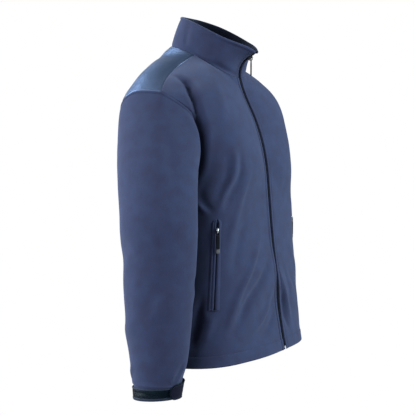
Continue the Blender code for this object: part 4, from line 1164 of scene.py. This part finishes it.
# Stitched lines: piece, edge (first row, last row, first column, last column), distance from it, pitch.
SEWN_LINES = (
    ("front_left", 0, HEM_STITCH, PITCH),
    ("front_right", 0, HEM_STITCH, PITCH),
    ("back", 0, HEM_STITCH, PITCH),
    ("front_left", 2, ZIP_STITCH, PITCH),
    ("front_right", 3, ZIP_STITCH, PITCH),
    ("collar", 2, ZIP_STITCH, PITCH),
    ("collar", 3, ZIP_STITCH, PITCH),
    ("sleeve_left", 0, ARM_STITCH, SHORT_PITCH),
    ("sleeve_right", 0, ARM_STITCH, SHORT_PITCH),
    ("yoke", 0, YOKE_STITCH, SHORT_PITCH),
    ("yoke", 1, YOKE_STITCH, SHORT_PITCH),
)
stitches = Bits()
for name, edge, wanted, pitch in SEWN_LINES:
    tube = is_tube(name)
    axis = 0 if edge < 2 else 1
    distances = np.median(edge_distances(grids[name], tube)[edge], axis=1 - axis)
    nearest = int(np.abs(distances - wanted).argmin())
    rows = [np.take(values, nearest, axis=axis) for values in (cloth[name][0], normals[name])]
    add_stitches(stitches, *[np.vstack([row, row[:1]]) if tube else row for row in rows], pitch=pitch)
stitches.made("stitches", THREAD, slot="fleece")


# ---------------------------------------------------------------- zips
TAPE_INNER = 0.0030
TAPE_DEPTH = 0.0010
TAPE = 0.0012
TAPE_MIDDLE = 0.0001       # the tapes run on under the teeth as far as this
TEETH_TOP = 0.0002
TEETH_FLOOR = 0.0021
TOOTH_PITCH = 0.0015
TOOTH_HALF = (0.0016, 0.00050, 0.0009)
TOOTH_ASIDE = 0.0012
SLIDER_LIFT = 0.0003
FRONT_SLIDER = (0.0088, 0.0130, 0.0042)
POCKET_SLIDER = (0.0050, 0.0110, 0.0050)
BRIDGE_HOLE_HEIGHT = 0.0030
BRIDGE_RISE = 0.0040
BRIDGE_HALF = 0.0038       # length of the bridge
BRIDGE_SECTION = (0.0010, 0.00065)
PIN = 0.0005
PIN_GAP = 0.0006
BEVEL = 0.0003             # of the links' edges
SLIDER_LEVELS = ((0.0, 0.86), (0.06, 0.95), (0.16, 1.0), (0.34, 1.0), (0.40, 0.84), (0.60, 0.84), (0.66, 1.0),
                 (0.84, 1.0), (0.94, 0.95), (1.0, 0.84))     # shares of its height and of its outline
SLIDER_SQUARE = 0.62       # how square its outline is, as the power of a sine
SLIDER_TAPER = 0.10
SLIDER_NOTCH = 0.16        # depth as a share of its width
ROD_SQUARE = 0.6
ACROSS = np.array([1.0, 0, 0])
BOX_HALF = (0.0032, 0.0040, 0.0016)
BOX_UP = 0.0048            # the middle of the bottom box above the hem
STOP_HALF = (0.0012, 0.0016, 0.0009)
STOP_DOWN = 0.0050         # the middle of the top stops below the collar's top
STOP_ASIDE = 0.0019


def oriented(verts, faces):
    """Faces turned so that their solid's volume is positive."""
    verts = np.asarray(verts)
    volume = 0.0
    for face in faces:
        for k in range(1, len(face) - 1):
            volume += np.dot(verts[face[0]], np.cross(verts[face[k]], verts[face[k + 1]]))
    return [list(face)[::-1] for face in faces] if volume < 0 else [list(face) for face in faces]


def loft(name, sections, material, **more):
    sections = np.asarray(sections)
    rows, columns = sections.shape[:2]
    faces = [list(f) for f in grid_faces(rows, columns, True)]
    faces.append(list(range(columns))[::-1])
    faces.append([(rows - 1) * columns + c for c in range(columns)])
    verts = sections.reshape(-1, 3)
    centred = verts - verts.mean(axis=0)
    return new_object(name, verts, oriented(centred, faces), material, **more)


def zip_line():
    line = np.vstack([grids["front_left"][:, 0], grids["collar"][1:, 0]]).copy()
    line[:, 0] = 0
    run = lengths(line)
    even = np.linspace(0, run[-1], 420)
    line = picked(line, run, even)
    ahead = unit(np.gradient(line, axis=0))
    return line, ahead, np.cross(ACROSS, ahead)


line, ahead, outward = zip_line()
zip_run = lengths(line)


def on_zip(at):
    """Place, run and outward direction at a distance up the front zip."""
    return [picked(values, zip_run, at) for values in (line, ahead, outward)]


for side_name, side in SIDES.items():
    inner, outer = TAPE_INNER - 0.0002, ZIP_HALF + 0.0007
    profile = [(TAPE_MIDDLE, -TEETH_FLOOR - 0.0005), (TAPE_MIDDLE, -TEETH_FLOOR), (inner, -TEETH_FLOOR),
               (inner, -TAPE_DEPTH - 0.0002), (inner + 0.0003, -TAPE_DEPTH),
               (inner + 0.0010, -TAPE_DEPTH - 0.0001), (outer - 0.0010, -TAPE_DEPTH - 0.0005),
               (outer, -TAPE_DEPTH - 0.0005), (outer, -TAPE_DEPTH - TAPE)]
    sections = swept(line, outward, [(side * x, out) for x, out in profile])
    tape = loft("zip_tape_%s_woven" % side_name, sections, TAPE_WEAVE, slot="tape")
    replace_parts(tape, "zip_tape_" + side_name)

teeth = Bits()
for index in range(int(zip_run[-1] / TOOTH_PITCH * 2) - 6):
    side = 1 if index % 2 else -1
    place, run, out = on_zip((index + 3) * TOOTH_PITCH / 2)
    centre = place + side * TOOTH_ASIDE * ACROSS - out * (TEETH_TOP + TOOTH_HALF[2])
    teeth.block(centre, ACROSS, run, out, TOOTH_HALF, 0.72)
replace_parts(teeth.made("zip_teeth_moulded", NYLON, slot="plastic", smooth_angle=20), "zip_teeth")

bottom_box = Bits()
place, run, out = on_zip(BOX_UP)
bottom_box.block(place + out * 0.0002, ACROSS, run, out, BOX_HALF, 0.84)
bottom_box.made("zip_bottom_box", BRIGHT, slot="metal", smooth_angle=20)
stops = Bits()
place, run, out = on_zip(zip_run[-1] - STOP_DOWN)
for side in (-1, 1):
    stops.block(place + side * STOP_ASIDE * ACROSS - out * 0.0008, ACROSS, run, out, STOP_HALF, 0.8)
stops.made("zip_top_stops", NYLON, slot="plastic", smooth_angle=20)


def frame_matrix(place, across, up):
    """Placement whose X is across, Y is up and Z is square to both."""
    x = Vector(across).normalized()
    z = x.cross(Vector(up)).normalized()
    y = z.cross(x)
    turn = Matrix((x, y, z)).transposed().to_4x4()
    return np.array(Matrix.Translation(Vector(place)) @ turn)


def placed(points, matrix):
    points = np.asarray(points, float)
    return points @ matrix[:3, :3].T + matrix[:3, 3]


def slider_outline(size, share, count=40):
    """Shield seen from outside, wider at the end where the zip opens."""
    turn = turns(count)
    x, y = squarish(np.cos(turn), SLIDER_SQUARE), squarish(np.sin(turn), SLIDER_SQUARE)
    half_x = size[0] / 2 * share * (1 - SLIDER_TAPER + SLIDER_TAPER * y)
    half_y = size[1] / 2 - size[0] / 2 * (1 - share)
    notch = np.where(y > 0, SLIDER_NOTCH * size[0] * groove(x, 0, 0.35), 0)
    return np.stack([x * half_x, y * half_y - notch], axis=-1)


def slider(name, size, matrix, material):
    """Slider of a zip in place of its node, and the bridge that holds its pull."""
    depth = size[2]
    sections = []
    for level, share in SLIDER_LEVELS:
        outline = slider_outline(size, share)
        height = np.full((len(outline), 1), SLIDER_LIFT + level * depth)
        sections.append(placed(np.hstack([outline, height]), matrix))
    body = loft(name + "_body", sections, material, slot="metal", smooth_angle=40)
    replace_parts(body, name)
    half = BRIDGE_HALF
    leg = [(half, -0.0006), (half, 0.0018), (half - 0.0005, BRIDGE_RISE - 0.0009),
           (half - 0.0018, BRIDGE_RISE - 0.0001)]
    path = [(-y, z) for y, z in leg] + [(0.0, BRIDGE_RISE)] + leg[::-1]
    path = along(np.array([(0.0, y, SLIDER_LIFT + depth + z) for y, z in path]), np.linspace(0, 1, 22))
    run = unit(np.gradient(path, axis=0))
    turn = turns(12)[:, None]
    x = BRIDGE_SECTION[0] * squarish(np.cos(turn), ROD_SQUARE)
    z = BRIDGE_SECTION[1] * squarish(np.sin(turn), ROD_SQUARE)
    sections = [placed(point + ACROSS * x + np.cross(ACROSS, direction) * z, matrix)
                for point, direction in zip(path, run)]
    loft(name + "_bridge", sections, material, slot="metal", smooth_angle=60)


def rounded_outline(width, height, radius, centre=(0.0, 0.0), steps=6):
    points = []
    for corner, (sx, sy) in enumerate(((1, 1), (-1, 1), (-1, -1), (1, -1))):
        for step in range(steps + 1):
            turn = math.pi / 2 * (corner + step / steps)
            points.append((centre[0] + sx * (width / 2 - radius) + radius * math.cos(turn),
                           centre[1] + sy * (height / 2 - radius) + radius * math.sin(turn)))
    return points


def plate(name, outlines, thickness, matrix, body):
    """Plate with rounded edges, from flat outlines, the first round the others."""
    drawing = bpy.data.curves.new(name, "CURVE")
    drawing.dimensions = "2D"
    drawing.fill_mode = "BOTH"
    drawing.extrude = thickness / 2 - BEVEL
    drawing.bevel_depth = BEVEL
    drawing.bevel_resolution = 2
    drawing.offset = -BEVEL
    for outline in outlines:
        spline_2d = drawing.splines.new("POLY")
        spline_2d.points.add(len(outline) - 1)
        for point, spot in zip(spline_2d.points, outline):
            point.co = (spot[0], spot[1], 0, 1)
        spline_2d.use_cyclic_u = True
    holder = linked(name + "_line", drawing)
    mesh = bpy.data.meshes.new_from_object(holder.evaluated_get(bpy.context.evaluated_depsgraph_get()))
    bpy.data.objects.remove(holder, do_unlink=True)
    verts = placed([v.co[:] for v in mesh.vertices], matrix)
    faces = [list(p.vertices) for p in mesh.polygons]
    bpy.data.meshes.remove(mesh)
    return new_object(name, verts, faces, DARK_METAL, body=body, slot="metal", smooth_angle=40)


def grip(name, stations, matrix, material, body):
    """Soft bar along -Y through stations (y, half width, half thickness)."""
    turn = turns(20)
    x, z = squarish(np.cos(turn), ROD_SQUARE), squarish(np.sin(turn), ROD_SQUARE)
    sections = [placed(np.stack([half_width * x, y + 0 * x, half_thickness * z], axis=-1), matrix)
                for y, half_width, half_thickness in stations]
    return loft(name, sections, material, body=body, slot="plastic", smooth_angle=35)


def ribbed(start, end, half_width, half_thickness, ribs, relief=0.00025):
    """Stations of a bar with cross ribs and rounded ends."""
    stations = [(start, half_width * 0.70, half_thickness * 0.55),
                (start - 0.0006, half_width * 0.93, half_thickness * 0.85)]
    for y in np.linspace(start - 0.0014, end + 0.0014, ribs * 4 + 1):
        share = (y - start) / (end - start)
        wave = relief * 0.5 * (1 + math.cos(2 * math.pi * ribs * share))
        stations.append((y, half_width, half_thickness - wave))
    stations += [(end + 0.0006, half_width * 0.93, half_thickness * 0.85),
                 (end, half_width * 0.70, half_thickness * 0.5)]
    return stations


Pull = namedtuple("Pull", "width length corner hole thickness")
FRONT_PULL = Pull(0.0056, 0.0130, 0.0016, 0.0030, 0.0013)
POCKET_PULL = Pull(0.0070, 0.0150, 0.0020, 0.0032, 0.0012)
HOLE_LENGTH = 0.0080
HOLE_CORNER = 0.0010
joints = {joint["name"]: joint for joint in frame["joints"]}


def pull(names, body, size, held):
    """Link of a pull in place of its node, with its soft grip; gives their placement on the joint."""
    joint = joints[body + "_swing"]
    matrix = frame_matrix(joint["pos_m"], -Vector(joint["axis"]), (0, 0, 1))
    outer = rounded_outline(size.width, size.length, size.corner, (0, PIN - size.length / 2))
    hole = rounded_outline(size.hole, HOLE_LENGTH, HOLE_CORNER, (0, -PIN - HOLE_LENGTH / 2))
    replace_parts(plate(names % "_link", [outer, hole], size.thickness, matrix, body), names % "")
    grip(names % "_grip", held, matrix, GRIP, body)
    return matrix


pull_height = SLIDER_LIFT + FRONT_SLIDER[2] + BRIDGE_HOLE_HEIGHT - PIN - PIN_GAP
bar = np.array(joints["front_pull_swing"]["pos_m"])
guess = int(np.linalg.norm(line + outward * pull_height - bar, axis=1).argmin())
slider_matrix = frame_matrix(bar - outward[guess] * pull_height, (1, 0, 0), ahead[guess])
slider("zip_slider", FRONT_SLIDER, slider_matrix, DARK_METAL)
pull("zip_pull%s", "front_pull", FRONT_PULL, ribbed(-0.0098, -0.0360, 0.0026, 0.0012, 7))


# ---------------------------------------------------------------- pockets
ARCH = 0.060               # length of a pocket's pointed top, as a share of its length
REAR_WELT = ((0.0026, -0.0004), (0.0024, 0.0016), (0.0029, 0.0026), (0.0046, 0.0029), (0.0060, 0.0022),
             (0.0066, 0.0014), (0.0073, 0.0020), (0.0088, 0.0023), (0.0104, 0.0018), (0.0114, 0.0008),
             (0.0120, -0.0004))
FRONT_WELT = ((-0.0026, -0.0004), (-0.0024, 0.0018), (-0.0030, 0.0029), (-0.0046, 0.0032), (-0.0064, 0.0027),
              (-0.0077, 0.0015), (-0.0083, 0.0014), (-0.0089, 0.0010), (-0.0095, -0.0004))
LIPS = (0.17, 0.30)        # shares of a pocket's length over which its welts close in below the slider
REAR_LIP = 0.0012
FRONT_LIP = 0.0018
POCKET_TAPE = ((-0.0024, -0.0004), (-0.0024, 0.0006), (-0.0012, 0.0009), (0.0012, 0.0009),
               (0.0024, 0.0006), (0.0024, -0.0004))
COIL_TURNS = 145
COIL_HALF = (0.0014, 0.00042, 0.0006)
COIL_LEAN = 0.25
WELT_STITCHES = (0.0064, -0.0074)   # to the rear of the pocket's middle
TACK_PITCH = 0.00055       # of the short stitches across the pocket's lower end
TACK_HALF = (0.00026, 0.0013, 0.00035)
SLIDER_SHARE = 1 / 14      # place of the slider down the pocket


def pocket_loft(name, side, profile, shares, material, slot, narrowing=1.0, flattening=1.0, lip=0.0):
    closing = lip * grown(shares, *LIPS) * smooth((1.0 - shares) / 0.03)
    ring_points = []
    for offset, height in profile:
        nearness = groove(abs(offset), 0.0026, 0.0020) if height > 0 else 0.0
        moved = offset * narrowing - math.copysign(1.0, offset) * closing * nearness
        ring_points.append(on_pocket(side, shares, moved, height * np.where(height > 0, flattening, 1)))
    return loft(name, np.stack(ring_points, axis=1), material, slot=slot, smooth_angle=60)


def pocket(side_name, side):
    shares = np.concatenate([np.linspace(-ARCH, 0, 12)[:-1], np.linspace(0, 1.0, 70), [1.006]])
    reach = np.clip(-shares / ARCH, 0, 1)
    narrowing = np.sqrt(1 - 0.98 * reach**2)
    flattening = 1 - 0.5 * reach**2
    flattening[-1] = 0.3
    for place, profile, lip in (("rear", REAR_WELT, REAR_LIP), ("front", FRONT_WELT, FRONT_LIP)):
        welt = "pocket_welt_%s_%s" % (place, side_name)
        sewn = pocket_loft(welt + "_sewn", side, profile, shares, FLEECE_NAVY, "fleece", narrowing,
                           flattening, lip)
        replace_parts(sewn, welt)
    woven = pocket_loft("pocket_zip_%s_tape" % side_name, side, POCKET_TAPE, np.linspace(-0.02, 0.995, 70),
                        TAPE_WEAVE, "tape")
    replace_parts(woven, "pocket_zip_" + side_name)
    coil = Bits()
    centre, run, out = pocket_frame(side, np.linspace(-0.01, 0.985, COIL_TURNS))[:3]
    aside = np.cross(run, out)
    for k in range(COIL_TURNS):
        direction = unit(aside[k] + run[k] * (COIL_LEAN if k % 2 else -COIL_LEAN))
        other = np.cross(out[k], direction)
        coil.block(centre[k] + out[k] * 0.0010, direction, other, out[k], COIL_HALF, 0.7)
    coil.made("pocket_coil_" + side_name, NYLON, slot="plastic", smooth_angle=20)
    sewn = Bits()
    at = np.linspace(0.0, 1.0, 90)
    for offset in WELT_STITCHES:
        add_stitches(sewn, on_pocket(side, at, offset, 0.0014), pocket_frame(side, at)[2], pitch=SHORT_PITCH)
    centre, run, out = [rows[0] for rows in pocket_frame(side, 1.0)[:3]]
    aside = unit(np.cross(run, out))
    for k in range(-9, 10):
        spot = centre + aside * k * TACK_PITCH + out * 0.0023 + run * 0.0002 * (k % 2)
        sewn.block(spot, aside, run, -side * out, TACK_HALF, 0.6)
    sewn.made("pocket_stitches_" + side_name, THREAD, slot="fleece")
    centre, run, out = [rows[0] for rows in pocket_frame(side, SLIDER_SHARE)[:3]]
    slider("pocket_slider_" + side_name, POCKET_SLIDER,
           frame_matrix(centre + out * 0.0021, np.cross(-run, out), -run), BRIGHT)
    body = side_name + "_pocket_pull"
    matrix = pull("pocket_pull%s_" + side_name, body, POCKET_PULL,
                  ribbed(-0.0098, -0.0395, 0.0038, 0.0013, 8))
    tip = ribbed(-0.0388, -0.0480, 0.0036, 0.0011, 2, 0.0001)
    grip("pocket_pull_tip_" + side_name, tip, matrix, PALE_TIP, body)


for side_name, side in SIDES.items():
    pocket(side_name, side)


# ---------------------------------------------------------------- cuffs
BAND_FACE = 0.0018         # over the sleeve's surface
BINDING_FACE = 0.0021
BAND_ROUND = (0.0007, 0.0012)      # depth and reach of the strips' rounded edges
BINDING_ROUND = (0.0012, 0.0018)
STRIP_SINK = 0.0002        # of the strips' inner faces into the sleeve
CUFF_STEPS = 160
RIB_PITCH = 0.0021
RIB_DEPTH = 0.00030
BAND_HIGH = -0.6876
BAND_LOW = -0.7040
TAB_SPAN = (0.10, 0.345)
TAB_TOP = -0.674
TAB_END_TOP = -0.678
TAB_BOTTOM = -0.7100
TAB_ROUND_FROM = 0.8
TAB_BLUNT = 0.06
TAB_UNDER = 0.0028
TAB = 0.0020
TAB_PUFF = 0.0004
TAB_SEAM = (0.045, 0.945)  # shares of its length between which its stitched lines run
RIM = 0.0011


def cuff_level(turn):
    cuff = SLEEVE[-1]
    return unit(np.stack([-np.cos(turn) / cuff.half_x, -np.sin(turn) / cuff.half_y, 0 * turn], axis=-1))


def cuff_rows(side_name, heights, offsets, turn):
    swing = SWINGS[side_name]
    rows = np.array([tube_ring(z, turn, swing) + cuff_level(turn) * offset
                     for z, offset in zip(heights, offsets)])
    side = SIDES[side_name]
    return sided(rows, side)[:, ::-side]


def cuff(side_name):
    def strip(name, heights, offsets, finish):
        outer = cuff_rows(side_name, heights, offsets, turns(CUFF_STEPS))
        inner = cuff_rows(side_name, heights, np.full(len(heights), -STRIP_SINK), turns(CUFF_STEPS))
        return wall(name, outer, inner, True, finish, slot="trim")

    heights = np.arange(BAND_HIGH, BAND_LOW - 0.0001, -0.0005)
    edge = np.minimum(BAND_HIGH - heights, heights - BAND_LOW)
    offsets = BAND_FACE - RIB_DEPTH * (1 + np.cos(2 * math.pi * heights / RIB_PITCH))
    offsets -= BAND_ROUND[0] * rounded(edge, BAND_ROUND[1])
    band = strip("cuff_band_%s_ribbed" % side_name, heights, offsets, TRIM_DARK)
    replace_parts(band, "cuff_band_" + side_name)
    for binding, top, bottom in (("lower", BAND_LOW, TAB_BOTTOM - 0.0002),
                                 ("upper", CUFF_BAND[0], BAND_HIGH)):
        heights = np.linspace(top, bottom, 13)
        edge = np.minimum(top - heights, heights - bottom)
        strip("cuff_binding_%s_%s" % (binding, side_name), heights,
              BINDING_FACE - BINDING_ROUND[0] * rounded(edge, BINDING_ROUND[1]), TRIM_EDGE)


def tab_place(side_name, share, height, offset):
    """Points on the tab: share of its length, height up it from 0 to 1, offset over the sleeve."""
    share = np.asarray(share, float)
    turn = 2 * math.pi * (TAB_SPAN[0] + share * (TAB_SPAN[1] - TAB_SPAN[0]))
    end_share = np.clip((share - TAB_ROUND_FROM) / (1 - TAB_ROUND_FROM), 0, 1)
    round_end = np.sqrt(np.clip(1 - end_share**2, TAB_BLUNT, 1))
    middle = (TAB_END_TOP + TAB_BOTTOM) / 2
    top = TAB_TOP + (TAB_END_TOP - TAB_TOP) * np.minimum(share / TAB_ROUND_FROM, 1)
    top = middle + (top - middle) * round_end
    bottom = middle + (TAB_BOTTOM - middle) * round_end
    z = bottom + np.asarray(height) * (top - bottom)
    swing = SWINGS[side_name]
    points = np.array([tube_ring(a, np.array([t]), swing)[0] for a, t in zip(z, turn)])
    level = cuff_level(turn)
    side = SIDES[side_name]
    return sided(points + level * np.asarray(offset)[..., None], side), sided(level, side)


def tab(side_name, side):
    rounded_end = TAB_ROUND_FROM + (1 - TAB_ROUND_FROM) * np.sin(np.linspace(0, math.pi / 2, 16))
    shares = np.concatenate([np.linspace(0, TAB_ROUND_FROM, 34)[:-1], rounded_end])
    heights = np.linspace(0, 1, 15)
    puffs = TAB_PUFF * (smooth(np.minimum(heights, 1 - heights) / 0.3) - 1)
    outer, inner = [np.array([tab_place(side_name, shares, height, offset)[0]
                              for height, offset in zip(heights, offsets)])[::-1, ::-side]
                    for offsets in (TAB_UNDER + TAB + puffs, TAB_UNDER + 0 * puffs)]
    face = wall("cuff_tab_%s_face" % side_name, outer, inner, False, TAB_FACE, slot="trim")
    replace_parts(face, "cuff_tab_" + side_name)
    round_shares = np.concatenate([shares, [1.0] * 3, shares[::-1], [0.0] * 6])
    round_heights = np.concatenate([np.ones(len(shares)), [0.8, 0.5, 0.2], np.zeros(len(shares)),
                                    [0.03, 0.2, 0.4, 0.6, 0.8, 0.97]])
    path, level = tab_place(side_name, round_shares, round_heights, TAB_UNDER + TAB * 0.55)
    profile = [(RIM * math.cos(t), 1.25 * RIM * math.sin(t)) for t in turns(10)]
    rim = swept(path, level, profile, closed=True)
    rim = np.concatenate([rim, rim[:1]])
    rows, columns = rim.shape[:2]
    verts = rim[:-1].reshape(-1, 3)
    faces = [[int(v) % len(verts) for v in f] for f in grid_faces(rows, columns, True)]
    centred = verts - verts.mean(axis=0)
    new_object("cuff_tab_%s_rim" % side_name, verts, oriented(centred, faces), TRIM_DARK, slot="trim",
               smooth_angle=70)
    sewn = Bits()
    for height in (0.10, 0.90):
        inset = TAB_SEAM[0] + shares * (TAB_SEAM[1] - TAB_SEAM[0])
        seam, out = tab_place(side_name, inset, height, TAB_UNDER + TAB - 0.0002)
        add_stitches(sewn, seam, out, pitch=SHORT_PITCH)
    sewn.made("cuff_stitches_" + side_name, THREAD, slot="trim")


for side_name, side in SIDES.items():
    cuff(side_name)
    tab(side_name, side)


# ---------------------------------------------------------------- studio
CAMERA_AZIMUTH = math.radians(62.0)
CAMERA_DOWN = math.radians(4.0)
CAMERA_DISTANCE = 2.4
CAMERA_TARGET = Vector((0.0, 0.0, -0.336))
FOCAL_PIXELS = 1044.0
FRAME_PIXELS = 415.0
SENSOR = 36.0
FLOOR_Z = -1.30
FLOOR_RADIUS = 1.55

look = Vector((math.sin(CAMERA_AZIMUTH) * math.cos(CAMERA_DOWN),
               math.cos(CAMERA_AZIMUTH) * math.cos(CAMERA_DOWN), -math.sin(CAMERA_DOWN)))


def aimed(name, data, place, direction):
    """Camera or lamp at a place, looking along a direction."""
    thing = linked(name, data)
    thing.location = place
    thing.rotation_mode = "QUATERNION"
    thing.rotation_quaternion = direction.to_track_quat("-Z", "Y")
    return thing


view = bpy.data.cameras.new("camera")
view.sensor_width = SENSOR
view.lens = SENSOR * FOCAL_PIXELS / FRAME_PIXELS
bpy.context.scene.camera = aimed("camera", view, CAMERA_TARGET - look * CAMERA_DISTANCE, look)
bpy.context.scene.view_settings.view_transform = "Standard"

floor_finish = started("pale_floor", {"Roughness": 0.9, "Specular IOR Level": 0.1,
                                      "Base Color": (0.160, 0.148, 0.144, 1.0)})[0]
floor_mesh = bpy.data.meshes.new("floor")
floor_rim = [(FLOOR_RADIUS * math.cos(t), FLOOR_RADIUS * math.sin(t), FLOOR_Z) for t in turns(128)]
floor_mesh.from_pydata(floor_rim, [], [tuple(range(len(floor_rim)))])
floor_mesh.materials.append(floor_finish)
linked("floor", floor_mesh)

world = bpy.data.worlds.new("studio")
world.use_nodes = True
backdrop = world.node_tree.nodes["Background"].inputs
backdrop["Color"].default_value = (1.0, 1.0, 1.0, 1.0)
backdrop["Strength"].default_value = 1.0
bpy.context.scene.world = world

Light = namedtuple("Light", "name place width height power colour")
LIGHTS = (
    Light("front_softbox", (1.0, -3.2, 1.1), 2.8, 2.0, 980.0, (0.90, 1.0, 1.03)),
    Light("rear_softbox", (-1.1, 3.1, 1.1), 2.4, 2.2, 830.0, (0.95, 1.0, 1.04)),
    Light("side_softbox", (-3.3, 0.35, -0.3), 2.4, 2.2, 405.0, (0.95, 0.98, 1.04)),
    Light("far_softbox", (0.2, 2.0, 2.1), 1.2, 0.9, 90.0, (0.95, 1.0, 1.04)),
    Light("top_softbox", (0.0, 0.2, 2.4), 1.4, 1.4, 10.0, (0.90, 1.0, 1.03)),
)
for light in LIGHTS:
    lamp = bpy.data.lights.new(light.name, "AREA")
    lamp.shape = "RECTANGLE"
    lamp.size = light.width
    lamp.size_y = light.height
    lamp.energy = light.power
    lamp.color = light.colour
    aimed(light.name, lamp, light.place, CAMERA_TARGET - Vector(light.place))
